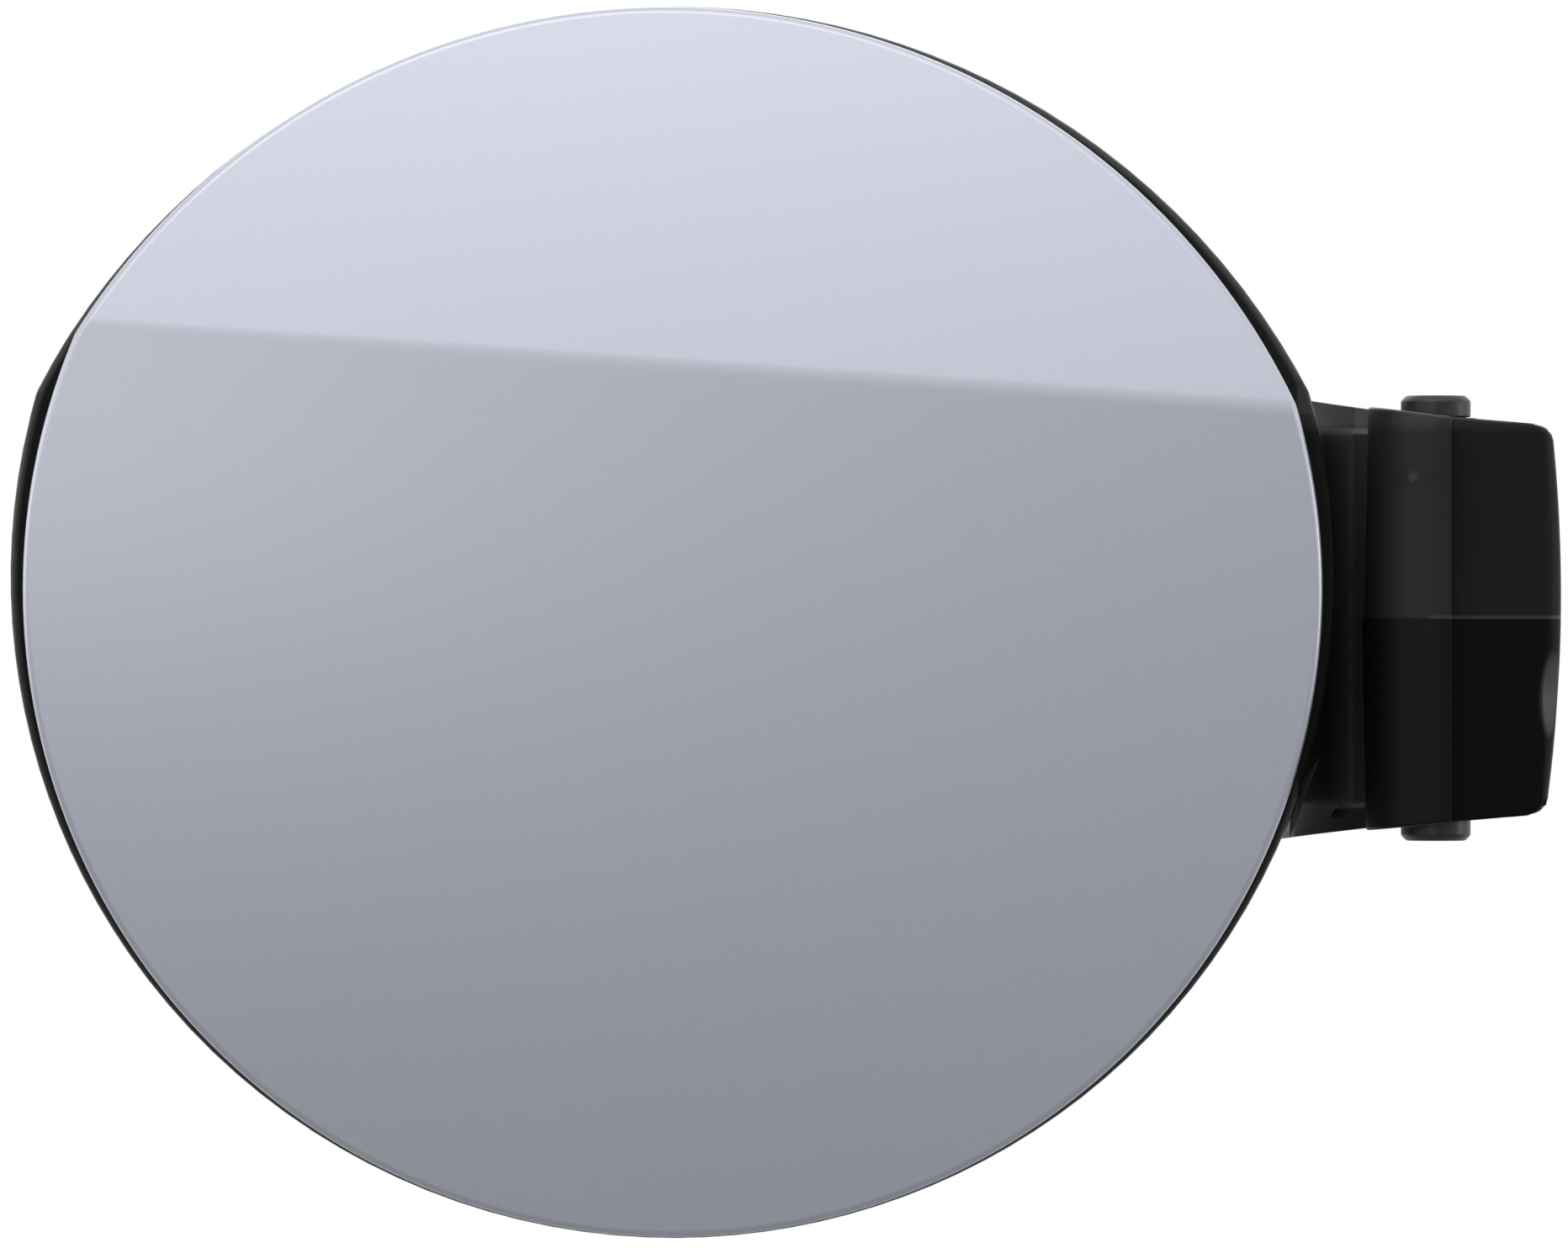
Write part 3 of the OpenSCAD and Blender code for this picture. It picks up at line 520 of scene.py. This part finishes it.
def make_steel(name, level, rough, streak_axis, streak):
    """Steel with fine marks that run along one axis."""
    paint = Paint(name, Metallic=1.0)
    scale = [1.0 / streak] * 3
    scale[streak_axis] = 0.06 / streak
    stretched = paint.node(
        "ShaderNodeMapping", {}, {"Vector": paint.place, "Scale": scale}
    )["Vector"]
    marks = paint.node(
        "ShaderNodeTexNoise", {}, {"Vector": stretched, "Scale": 1.0, "Detail": 4}
    )["Fac"]
    stain = paint.noise(0.006, 3)
    colour = paint.tint(stain, grey(level * 0.85), grey(level, 0.02))
    paint.feed(Base_Color=colour, Roughness=marks * 0.2 + stain * 0.08 + rough)
    return paint.bump(marks, 0.000006, 0.4).material


def make_acetal(name, level):
    """Dark acetal with a low, even sheen."""
    paint = Paint(name, IOR=1.48)
    fine = paint.noise(0.0005, 2)
    flow = paint.noise(0.008, 3)
    colour = paint.tint(flow, grey(level * 0.8), grey(level * 1.2))
    paint.feed(Base_Color=colour, Roughness=fine * 0.1 + flow * 0.08 + 0.3)
    return paint.bump(fine, 0.00001, 0.4).material


def make_rubber():
    """Black rubber, dull, with a dusty bloom."""
    paint = Paint("stop_rubber", IOR=1.5)
    fine = paint.noise(0.0004, 4, 0.6)
    bloom = paint.noise(0.004, 3)
    colour = paint.tint(bloom, grey(0.012), grey(0.026, 0.03))
    paint.feed(Base_Color=colour, Roughness=bloom * 0.15 + 0.62)
    return paint.bump(fine, 0.00004, 0.6).material


BODY_PAINT = make_body_paint()
BLACK_MOULDING = make_black_moulding()
PIN_STEEL = make_steel("pin_steel", 0.58, 0.2, 2, 0.0004)
SPRING_STEEL = make_steel("spring_steel", 0.5, 0.24, 2, 0.0003)
SCREW_ZINC = make_steel("screw_zinc", 0.56, 0.26, 0, 0.0005)
BUSH_ACETAL = make_acetal("bush_acetal", 0.014)
LATCH_ACETAL = make_acetal("latch_acetal", 0.035)
STOP_RUBBER = make_rubber()


# Cap

def draw_outline(bm):
    """Draws the cap's outline as a flat ring, with a vertex at each of its two corners."""
    ring = bmesh.ops.create_circle(bm, segments=OUTLINE_STEPS, radius=1)["verts"]
    angles = [2 * math.pi * i / OUTLINE_STEPS for i in range(OUTLINE_STEPS)]
    for corner in kinks(EDGE_ROUND):
        exact = math.atan2(corner.y - LOWER_CENTRE.y, corner.x - LOWER_CENTRE.x) % (2 * math.pi)
        nearest = min(range(OUTLINE_STEPS), key=lambda i: abs(angles[i] - exact))
        angles[nearest] = exact
    for vert, angle in zip(ring, angles):
        way = Vector((math.cos(angle), math.sin(angle)))
        reach = min(
            LOWER_R - EDGE_ROUND,
            disc_reach(way, UPPER_CENTRE, UPPER_R - EDGE_ROUND),
        )
        place = LOWER_CENTRE + reach * way
        vert.co = (place.x, 0, place.y)


def fill_outline(bm):
    """Fills the outline with rings, closest near the edge, and with rows along the crease."""
    edges = list(bm.edges)
    middle = Vector((LOWER_CENTRE.x, 0, LOWER_CENTRE.y))
    done = 1.0
    for share in RING_SHARES:
        edges, sources = extrude_ring(bm, edges)
        for vert in sources:
            vert.co = middle + (vert.co - middle) * (share / done)
        done = share
    bm.faces.new(ring_order(edges))
    hub = max(bm.faces, key=lambda f: len(f.verts))
    bmesh.ops.poke(bm, faces=[hub])

    # The rows lie close together where the crease is rounded
    across = Vector((math.sin(CREASE_ANGLE), 0, math.cos(CREASE_ANGLE)))
    low = (crease_c + CREASE_R * to_lower).y
    high = (crease_c + CREASE_R * to_upper).y
    rows = [low + (high - low) * i / 8 for i in range(9)]
    rows += [low - 0.35, low - 1.1, high + 0.35, high + 1.1]
    for row in rows:
        bmesh.ops.bisect_plane(
            bm, geom=bm.verts[:] + bm.edges[:] + bm.faces[:], dist=1e-5,
            plane_co=Vector((DOOR_X, 0, CREASE_Z)) + across * row, plane_no=across,
        )
    bm.verts.sort(key=lambda v: 1000 * v.co.x + v.co.z)
    bmesh.ops.remove_doubles(bm, verts=bm.verts, dist=0.01)


def edge_profile():
    """Section of the cap's edge: how far in and how deep each row lies, and which way it faces.

    It goes round from the face, back along the wall, round the wall's end and up inside.
    """
    profile = []
    for i in range(1, ARC_STEPS + 1):
        turn = math.radians(90 * i / ARC_STEPS)
        inset = EDGE_ROUND * (1 - math.sin(turn))
        profile.append((inset, EDGE_ROUND * (1 - math.cos(turn)), turn))
    profile.append((0, EDGE_DEPTH - BACK_ROUND, math.radians(90)))
    for i in range(1, 4):
        turn = math.radians(90 + 30 * i)
        inset = BACK_ROUND * (1 - math.sin(turn))
        profile.append((inset, EDGE_DEPTH - BACK_ROUND * (1 + math.cos(turn)), turn))
    profile.append((EDGE_WALL - BACK_ROUND, EDGE_DEPTH, math.radians(180)))
    profile.append((EDGE_WALL, EDGE_DEPTH - BACK_ROUND, math.radians(270)))
    profile.append((EDGE_WALL, SKIN + 0.4, math.radians(270)))
    return profile


def make_panel():
    """The painted cap: creased face, rounded edge, edge wall and underside."""
    bm = bmesh.new()
    draw_outline(bm)
    fill_outline(bm)

    # The underside is a copy, whose edge meets the inside of the edge wall
    face_verts = list(bm.verts)
    copied = bmesh.ops.duplicate(bm, geom=bm.verts[:] + bm.edges[:] + bm.faces[:])["geom"]
    under_verts = [g for g in copied if isinstance(g, bmesh.types.BMVert)]
    under_faces = [g for g in copied if isinstance(g, bmesh.types.BMFace)]
    under_set = set(under_verts)
    normals = {}
    for vert in face_verts:
        normals[vert] = face_normal(vert.co.x, vert.co.z)
        vert.co.y = face_y(vert.co.x, vert.co.z)
    under_edge = [e for e in bm.edges if e.is_boundary and e.verts[0] in under_set]
    for vert in {v for e in under_edge for v in e.verts}:
        place = Rim(Vector((vert.co.x, vert.co.z))).at(EDGE_WALL)
        vert.co.x, vert.co.z = place
    for vert in under_verts:
        normals[vert] = -face_normal(vert.co.x, vert.co.z)
        vert.co.y = face_y(vert.co.x, vert.co.z, SKIN)

    # The edge grows out of the face, row by row, and its last row meets the underside
    edges = [e for e in bm.edges if e.is_boundary and e.verts[0] not in under_set]
    rims = {v: Rim(Vector((v.co.x, v.co.z))) for e in edges for v in e.verts}
    fronts = {v: normals[v] for v in rims}
    for inset, depth, turn in edge_profile():
        edges, sources = extrude_ring(bm, edges)
        rims = {v: rims[old] for v, old in sources.items()}
        fronts = {v: fronts[old] for v, old in sources.items()}
        for vert, rim in rims.items():
            place = rim.at(inset)
            vert.co = (place.x, face_y(place.x, place.y, depth), place.y)
            out = Vector((rim.way.x, 0, rim.way.y))
            normals[vert] = (math.cos(turn) * fronts[vert] + math.sin(turn) * out).normalized()
    under_edge = [e for e in bm.edges if e.is_boundary and e not in set(edges)]
    bmesh.ops.bridge_loops(bm, edges=edges + under_edge)
    bmesh.ops.reverse_faces(bm, faces=[f for f in under_faces if f.is_valid])
    bmesh.ops.recalc_face_normals(bm, faces=bm.faces)
    smooth(bm)
    bm.verts.index_update()
    by_index = [normals[v] for v in sorted(bm.verts, key=lambda v: v.index)]
    panel = new_piece("painted_cap", bm, "door", BODY_PAINT, ["outer_panel"])
    panel.data.normals_split_custom_set_from_vertices(by_index)
    return panel


def ring_order(edges):
    """The vertices of a closed ring of edges, one after another."""
    edge = edges[0]
    left = set(edges[1:])
    order = [edge.verts[0], edge.verts[1]]
    while left:
        following = next(e for e in order[-1].link_edges if e in left)
        left.remove(following)
        order.append(following.other_vert(order[-1]))
    return order[:-1]


def make_tongues():
    """Snap tongues that grow out of the cap's underside and catch behind the carrier."""
    bm = bmesh.new()
    for degrees in TONGUE_ANGLES:
        turn = math.radians(degrees)
        way = Vector((math.cos(turn), math.sin(turn)))
        reach = min(LOWER_R, disc_reach(way, UPPER_CENTRE, UPPER_R)) - TONGUE_INSET
        place = LOWER_CENTRE + reach * way
        y = face_y(place.x, place.y)
        catch = y + CATCH_DEPTH
        outline = (
            (0, y + SKIN / 2),
            (TONGUE_T, y + SKIN / 2),
            (TONGUE_T, catch + 2.2 * TONGUE_BARB),
            (TONGUE_T / 2, catch + 2.6 * TONGUE_BARB),
            (-TONGUE_BARB, catch + 0.8 * TONGUE_BARB),
            (-TONGUE_BARB, catch),
            (0, catch),
        )
        verts = [bm.verts.new((a, b, -TONGUE_W / 2)) for a, b in outline]
        side = bm.faces.new(verts)
        made = bmesh.ops.extrude_face_region(bm, geom=[side])["geom"]
        grown = [g for g in made if isinstance(g, bmesh.types.BMVert)]
        bmesh.ops.translate(bm, verts=grown, vec=(0, 0, TONGUE_W))
        turned = Matrix.Rotation(-turn, 4, "Y")
        bmesh.ops.transform(bm, matrix=Matrix.Translation(
            (place.x, 0, place.y)) @ turned, verts=verts + grown)
        for vert in verts[:2] + grown:
            if vert.co.y < y + SKIN:
                vert.co.y = face_y(vert.co.x, vert.co.z) + SKIN / 2
    bmesh.ops.recalc_face_normals(bm, faces=bm.faces)
    bmesh.ops.bevel(
        bm, geom=bm.edges[:], offset=0.2, segments=2, profile=0.5,
        affect="EDGES", material=-1,
    )
    return new_piece("cap_tongues", bm, "door", BODY_PAINT, ["outer_panel"])


# Free end of the arm's tail

def end_x(z):
    """How far the tail reaches at a height: a shallow bulge with round corners."""
    bulge = TAIL_TIP - END_EASE - END_R
    side = 1 if z > 0 else -1
    edge = ARM_TOP if z > 0 else ARM_BOTTOM
    corner_z = side * (
        edge - (TAIL_TIP - CORNER_R) * math.tan(TAPER) - CORNER_R / math.cos(TAPER)
    )
    if side * z <= side * corner_z:
        return bulge + math.sqrt(END_R ** 2 - (z - END_Z) ** 2)
    corner_x = bulge + math.sqrt(END_R ** 2 - (corner_z - END_Z) ** 2) - CORNER_R
    return corner_x + math.sqrt(max(CORNER_R ** 2 - (z - corner_z) ** 2, 0))


def tail_section(front):
    """Plan of the tail's free end, from its face round the nose and the lip to its inside."""
    nose = nose_centre(front)
    lip_r = LIP_WALL / 2
    lip = Vector((TAIL_TIP - lip_r, LIP_BACK - lip_r))
    inner_x = TAIL_TIP - LIP_WALL
    start = TAIL_LEAN - math.pi / 2 + math.acos(1 - NOSE_EASE / NOSE_R)
    turns = [start * (1 - i / 14) for i in range(15)]
    section = [Vector((x, tail_y(x, front))) for x in (TAIL_CUT_X, 10.6, 11.6, 12.6)]
    section += [nose + NOSE_R * Vector((math.cos(t), math.sin(t))) for t in turns]
    section += [Vector((TAIL_TIP, nose.y + (lip.y - nose.y) * i / 5)) for i in range(1, 5)]
    section += [
        lip + lip_r * Vector((math.cos(t), math.sin(t)))
        for t in (math.radians(15 * i) for i in range(7))
    ]
    section += [Vector((inner_x + 0.3, LIP_BACK)), Vector((inner_x, LIP_BACK - 0.3))]
    corner = tail_y(inner_x, front) + TAIL_WALL
    section += [Vector((inner_x, corner + (LIP_BACK - 0.3 - corner) * i / 3)) for i in (2, 1)]
    section += [Vector((inner_x, corner + 0.3)), Vector((inner_x - 0.3, corner))]
    section += [Vector((x, tail_y(x, front) + TAIL_WALL)) for x in (11.6, TAIL_CUT_X)]
    return section


def tail_row(z_share, side, round_turn):
    """One level of the tail's free end, as a list of places."""
    front = TAIL_FRONT - (PARTING_STEP if side > 0 else 0)
    section = tail_section(front)
    inner_x = TAIL_TIP - LIP_WALL
    nose_x = TAIL_TIP - NOSE_R
    inset = TAIL_ROUND * (1 - math.cos(round_turn))
    sink = TAIL_ROUND * (1 - math.sin(round_turn)) if z_share == 1 else 0
    dish = dish_centre()
    row = []
    for i, place in enumerate(section):
        before = section[max(i - 1, 0)]
        after = section[min(i + 1, len(section) - 1)]
        along = (after - before).normalized()
        place = place - inset * Vector((along.y, -along.x))
        if i in (0, len(section) - 1):
            place.x = TAIL_CUT_X
        edge = ARM_TOP if side > 0 else ARM_BOTTOM
        x = place.x
        for _ in range(3):
            z = side * (z_share * (edge - x * math.tan(TAPER)) - sink)
            reach = end_x(z)
            if place.y > RIB_BACK - LIP_BACK and place.x < inner_x + 0.35:
                x = min(place.x, reach - CORNER_LIP)
                continue
            start = min(nose_x, reach - CORNER_WALL)
            share = max((place.x - start) / (TAIL_TIP - start), 0)
            x = place.x - (TAIL_TIP - reach) * share
        face = tail_y(x, front)
        y = place.y
        if place.y < face + 1.5:
            y += abs(z) * math.tan(DRAFT) * max(0, 1 - (place.y - face) / 1.5)
        spot = Vector((x, y, z))
        deep = DISH_R - (spot - dish).length
        if i < 26:
            push = 0.5 * (deep + math.sqrt(deep * deep + 0.16))
            spot += push * (spot - dish).normalized()
        row.append(spot)
    return row


def cut_spring_pocket(bm):
    """Takes a step out of the tail's end, in which the spring's outer leg lies."""
    walls = (
        (Vector((0, 0, SPRING_HALF)), Vector((0, 0, 1))),
        (Vector((0, 0, -SPRING_HALF)), Vector((0, 0, 1))),
        (Vector((0, SPRING_POCKET_Y, 0)), Vector((0, 1, 0))),
        (Vector((SPRING_POCKET_X, 0, 0)), Vector((1, 0, 0))),
    )
    for place, way in walls:
        near = [
            f for f in bm.faces
            if f.calc_center_median().x > POCKET_AREA_X
            and abs(f.calc_center_median().z) < POCKET_AREA_Z
        ]
        edges = dict.fromkeys(e for f in near for e in f.edges)
        verts = dict.fromkeys(v for f in near for v in f.verts)
        bmesh.ops.bisect_plane(
            bm, geom=[*verts, *edges, *near], dist=1e-4, plane_co=place, plane_no=way
        )
    gone = []
    for face in bm.faces:
        place = face.calc_center_median()
        if place.x > SPRING_POCKET_X and place.y > SPRING_POCKET_Y and abs(place.z) < SPRING_HALF:
            gone.append(face)
    bmesh.ops.delete(bm, geom=gone, context="FACES")

    # Each wall of the step runs along its part of the hole and back over the inner corners
    hole = dict.fromkeys(
        v for e in bm.edges if e.is_boundary for v in e.verts if v.co.x > POCKET_AREA_X
    )
    high, low = [
        bm.verts.new((SPRING_POCKET_X, SPRING_POCKET_Y, z)) for z in (SPRING_HALF, -SPRING_HALF)
    ]
    inner_corners = ([high], [low], [high, low], [high, low])
    for (place, way), corners in zip(walls, inner_corners):
        along = 1 if len(corners) == 1 else 2
        run = [v for v in hole if abs((v.co - place).dot(way)) < 0.002]
        bm.faces.new([*sorted(run, key=lambda v: v.co[along]), *corners])


def make_tail_end():
    """The tail's nose and lip in one skin, with the parting line and the thumb dish."""
    bm = bmesh.new()
    shares = [0.98, 0.95, 0.92, 0.89, 0.86] + [0.84 * i / 24 for i in range(24, -1, -1)]
    levels = [(1, -1, math.radians(t)) for t in (90, 60, 30, 0)]
    levels += [(share, -1, 0) for share in shares]
    levels += [(share, 1, 0) for share in reversed(shares)]
    levels += [(1, 1, math.radians(t)) for t in (0, 30, 60, 90)]
    chain = [bm.verts.new(spot) for spot in tail_row(*levels[0])]
    bottom = list(chain)
    edges = [bm.edges.new(pair) for pair in zip(chain, chain[1:])]
    for level in levels[1:]:
        spots = tail_row(*level)
        edges, sources = extrude_ring(bm, edges)
        fresh = {old: new for new, old in sources.items()}
        chain = [fresh[v] for v in chain]
        for vert, spot in zip(chain, spots):
            vert.co = spot
    bm.faces.new(bottom)
    bm.faces.new(chain)
    cut_spring_pocket(bm)
    for z in RIB_LEVELS:
        grown = bmesh.ops.create_cube(bm, size=1)["verts"]
        size = Vector((TAIL_TIP - LIP_WALL + 0.5 - TAIL_CUT_X, RIB_BACK - RIB_FRONT, RIB_T))
        bmesh.ops.scale(bm, vec=size, verts=grown)
        middle = Vector((TAIL_CUT_X + size.x / 2, RIB_FRONT + size.y / 2, z))
        bmesh.ops.translate(bm, vec=middle, verts=grown)
    bmesh.ops.recalc_face_normals(bm, faces=bm.faces)
    smooth(bm)
    piece = new_piece(
        "tail_nose", bm, "door", BLACK_MOULDING, ["carrier"]
    )
    piece.data.set_sharp_from_angle(angle=math.radians(38))
    return piece


# Rigid pieces whose CAD shape is right get soft edges

# Edges that bend less than this many degrees stay smooth
SHALLOW = 5
# Edges that bend more than this many degrees are always rounded
STEEP = 40
# Faces narrower than this, in millimetres, keep crisp edges
NARROW = 0.4


def mark_patches(bm):
    """Numbers the loose patches of a CAD mesh, each of which is one of the solid's faces."""
    patch = bm.faces.layers.int.new("patch")
    number = 0
    for start in bm.faces:
        if start[patch]:
            continue
        number += 1
        start[patch] = number
        waiting = [start]
        while waiting:
            for edge in waiting.pop().edges:
                for face in edge.link_faces:
                    if not face[patch]:
                        face[patch] = number
                        waiting.append(face)
    return patch


def patch_widths(bm, patch):
    """About how wide each patch is, from its area and the length of its border."""
    area, border = {}, {}
    for face in bm.faces:
        area[face[patch]] = area.get(face[patch], 0) + face.calc_area()
    for edge in bm.edges:
        for number in {f[patch] for f in edge.link_faces}:
            if edge.seam:
                border[number] = border.get(number, 0) + edge.calc_length()
    return {number: 2 * area[number] / border.get(number, 1) for number in area}


def on_rim_edge(edge):
    """Whether an edge is the front corner of the rim."""
    beyond = [
        max((place - RIM_LOWER_CENTRE).length - RIM_LOWER_R,
            (place - RIM_UPPER_CENTRE).length - RIM_UPPER_R)
        for place in (Vector((v.co.x, v.co.z)) for v in edge.verts)
    ]
    ahead = min(f.normal.y for f in edge.link_faces)
    return min(beyond) > -0.1 and ahead < -0.7 and max(v.co.x for v in edge.verts) < RIM_END


def soften(name, node, body, material, width, segments=2, cut_x=None, rim=None):
    """A welded copy of a CAD node, with the edges between its faces rounded."""
    bm = bmesh.new()
    bm.from_mesh(nodes[node].data)
    bmesh.ops.scale(bm, vec=(1 / MM, 1 / MM, 1 / MM), verts=bm.verts)
    patch = mark_patches(bm)
    bmesh.ops.remove_doubles(bm, verts=bm.verts, dist=0.002)
    for edge in bm.edges:
        edge.seam = len({f[patch] for f in edge.link_faces}) > 1
    bmesh.ops.dissolve_limit(
        bm, angle_limit=math.radians(0.3), verts=bm.verts[:], edges=bm.edges[:],
        delimit={"SEAM"},
    )
    widths = patch_widths(bm, patch)
    weight = bm.edges.layers.float.new("bevel_weight_edge")
    for edge in bm.edges:
        bend = edge.calc_face_angle(0)
        if bend > math.radians(STEEP) or edge.seam and bend > math.radians(SHALLOW):
            narrow = min(widths[f[patch]] for f in edge.link_faces)
            if narrow > NARROW:
                edge[weight] = min(width, narrow / 3)
            else:
                edge.smooth = False
            if rim and on_rim_edge(edge):
                edge[weight] = rim
        edge.seam = False
    widest = max(edge[weight] for edge in bm.edges)
    for edge in bm.edges:
        edge[weight] /= widest
    if cut_x is not None:
        bmesh.ops.bisect_plane(
            bm, geom=bm.verts[:] + bm.edges[:] + bm.faces[:], dist=1e-4,
            plane_co=(cut_x, 0, 0), plane_no=(1, 0, 0), clear_outer=True,
        )
    smooth(bm)
    piece = new_piece(name, bm, body, material, [node])
    edges = piece.modifiers.new("soft_edges", "BEVEL")
    edges.width = widest * MM
    edges.segments = segments
    edges.limit_method = "WEIGHT"
    edges.use_clamp_overlap = False
    edges.face_strength_mode = "FSTR_ALL"
    shading = piece.modifiers.new("even_shading", "WEIGHTED_NORMAL")
    shading.mode = "FACE_AREA_WITH_ANGLE"
    shading.use_face_influence = True
    shading.keep_sharp = True
    return piece


make_panel()
make_tongues()
make_tail_end()
soften(
    "carrier_moulding", "carrier", "door", BLACK_MOULDING, 0.4,
    segments=3, cut_x=TAIL_CUT_X, rim=0.9,
)
soften("pin", "hinge_pin", "hinge", PIN_STEEL, 0.3)
soften("bush_upper", "upper_bush", "hinge", BUSH_ACETAL, 0.2)
soften("bush_lower", "lower_bush", "hinge", BUSH_ACETAL, 0.2)
soften("spring_strip", "detent_spring", "door", SPRING_STEEL, 0.08)
soften("eye_for_lock", "latch_eye", "door", LATCH_ACETAL, 0.25)
soften("holder_for_cap", "cap_holder", "door", BLACK_MOULDING, 0.25)
soften("screws", "inner_screws", "door", SCREW_ZINC, 0.12)
soften("stop_upper", "upper_bump_stop", "door", STOP_RUBBER, 0.3)
soften("stop_lower", "lower_bump_stop", "door", STOP_RUBBER, 0.3)


# Stage

FLOOR_Z = -0.16
# Brightness of the sky from straight below, at 0, to straight above, at 1
SKY = ((0.0, 0.2), (0.36, 0.25), (0.5, 0.6), (0.72, 0.92), (1.0, 0.95))
# Share of that brightness from the left side, at 0, to the right side, at 1
SKY_SIDES = ((0.0, 1.0), (0.25, 1.1), (0.42, 1.2), (0.58, 0.78), (0.7, 0.6), (0.96, 1.3))

# Share of the white backdrop in what mirrors show, from the camera's side, at 0, to the far side
BACKDROP = ((0.3, 0.0), (0.56, 1.0))


def make_floor():
    """A pale round floor that fades into the white surroundings. To light that bounces off it, and to
    mirrors on the camera's side, it is a dim grey: a dark sheet that paints shade into the lower part
    of the cap.
    """
    bm = bmesh.new()
    bmesh.ops.create_circle(bm, cap_ends=True, segments=96, radius=2.4)
    mesh = bpy.data.meshes.new("floor")
    bm.to_mesh(mesh)
    bm.free()
    floor = bpy.data.objects.new("floor", mesh)
    bpy.context.scene.collection.objects.link(floor)
    mesh.transform(Matrix.Translation((-0.08, 0, FLOOR_Z)))
    paint = Paint("floor_paint", Roughness=0.9)
    light = paint.node("ShaderNodeLightPath", {}, {})
    place = paint.node("ShaderNodeSeparateXYZ", {}, {0: paint.place})
    mirrored = light["Is Glossy Ray"] + light["Is Transmission Ray"]
    direct = light["Is Camera Ray"] + mirrored * (1 - paint.step(place["Y"], 0.15, 0.15))
    # Pale to the camera, but dim grey to bounced light and to mirrors on the camera's side, as
    # painted shade on the object
    pale = paint.tint(direct, grey(0.3), grey(0.8))
    paint.feed(Base_Color=pale)
    fade = paint.node(
        "ShaderNodeMapRange", {"interpolation_type": "SMOOTHSTEP"},
        {0: paint.length(paint.place), 1: 0.35, 2: 1.5},
    )[0]
    seen = direct * fade
    glow = paint.node("ShaderNodeEmission", {}, {"Color": (1, 1, 1, 1), "Strength": 1.0})
    mix = paint.tree.nodes.new("ShaderNodeMixShader")
    paint.tree.links.new(seen.socket, mix.inputs[0])
    paint.tree.links.new(paint.shader.outputs[0], mix.inputs[1])
    paint.tree.links.new(glow.made.outputs[0], mix.inputs[2])
    paint.tree.links.new(mix.outputs[0], paint.tree.nodes["Material Output"].inputs[0])
    mesh.materials.append(paint.material)


def make_world():
    """A soft sky that is dimmer below, and plain white to the camera."""
    world = bpy.data.worlds.new("studio")
    bpy.context.scene.world = world
    world.use_nodes = True
    graph = Graph(world.node_tree)
    way = graph.node("ShaderNodeTexCoord", {}, {})["Generated"]
    parts = graph.node("ShaderNodeSeparateXYZ", {}, {0: way})
    level = graph.ramp(parts["Z"] * 0.5 + 0.5, *SKY)
    sides = graph.ramp(parts["X"] * 0.5 + 0.5, *SKY_SIDES)
    light = graph.node("ShaderNodeLightPath", {}, {})
    mirrored = light["Is Glossy Ray"] + light["Is Transmission Ray"]
    backdrop = graph.ramp(parts["Y"] * 0.5 + 0.5, *BACKDROP)
    seen = light["Is Camera Ray"] + mirrored * backdrop
    strength = seen + (1 - seen) * level * sides
    graph.set(
        world.node_tree.nodes["Background"], {"Color": (1, 1, 1, 1), "Strength": strength}
    )


def add_lamp(name, place, target, size, power):
    data = bpy.data.lights.new(name, "AREA")
    data.shape = "RECTANGLE"
    data.size, data.size_y = size
    data.energy = power
    lamp = bpy.data.objects.new(name, data)
    bpy.context.scene.collection.objects.link(lamp)
    lamp.location = place
    lamp.rotation_euler = (Vector(target) - Vector(place)).to_track_quat("-Z", "Y").to_euler()


VIEW_W = 1864
VIEW_H = 1484
MM_PER_PIXEL = 0.108
CENTRE_PIXEL_X = 1710
CENTRE_PIXEL_Y = 735
CAMERA_DISTANCE = 2.4
SENSOR = 36


def make_camera():
    """A long lens straight in front, framed as the photograph is."""
    data = bpy.data.cameras.new("camera")
    data.sensor_width = SENSOR
    width = VIEW_W * MM_PER_PIXEL * MM
    data.lens = SENSOR * CAMERA_DISTANCE / width
    data.clip_start, data.clip_end = 0.1, 20
    camera = bpy.data.objects.new("camera", data)
    bpy.context.scene.collection.objects.link(camera)
    x = (VIEW_W / 2 - CENTRE_PIXEL_X) * MM_PER_PIXEL * MM
    z = (CENTRE_PIXEL_Y - VIEW_H / 2) * MM_PER_PIXEL * MM
    camera.location = (x, -0.01 - CAMERA_DISTANCE, z)
    camera.rotation_euler = (math.pi / 2, 0, 0)
    bpy.context.scene.camera = camera


make_floor()
make_world()
middle = (DOOR_X * MM, 0, 0)
add_lamp("overhead", (-0.1, -0.55, 1.1), middle, (1.2, 0.9), 4)
add_lamp("front_left", (-1.2, -1.0, 0.35), middle, (0.5, 1.2), 1.4)
add_lamp("front_right", (1.1, -1.2, 0.35), middle, (0.8, 1.2), 0.6)
add_lamp("front_centre", (-0.54, -1.85, -0.08), middle, (0.5, 0.66), 1.95)
add_lamp("left", (-1.7, 0.0, 0.15), middle, (0.5, 0.8), 2.5)
add_lamp("right", (1.4, -0.05, -0.1), middle, (0.5, 0.6), 3.0)
add_lamp("behind", (-0.1, 1.2, 0.7), middle, (1.2, 1.0), 3)
make_camera()

bpy.context.scene.view_settings.view_transform = "Standard"
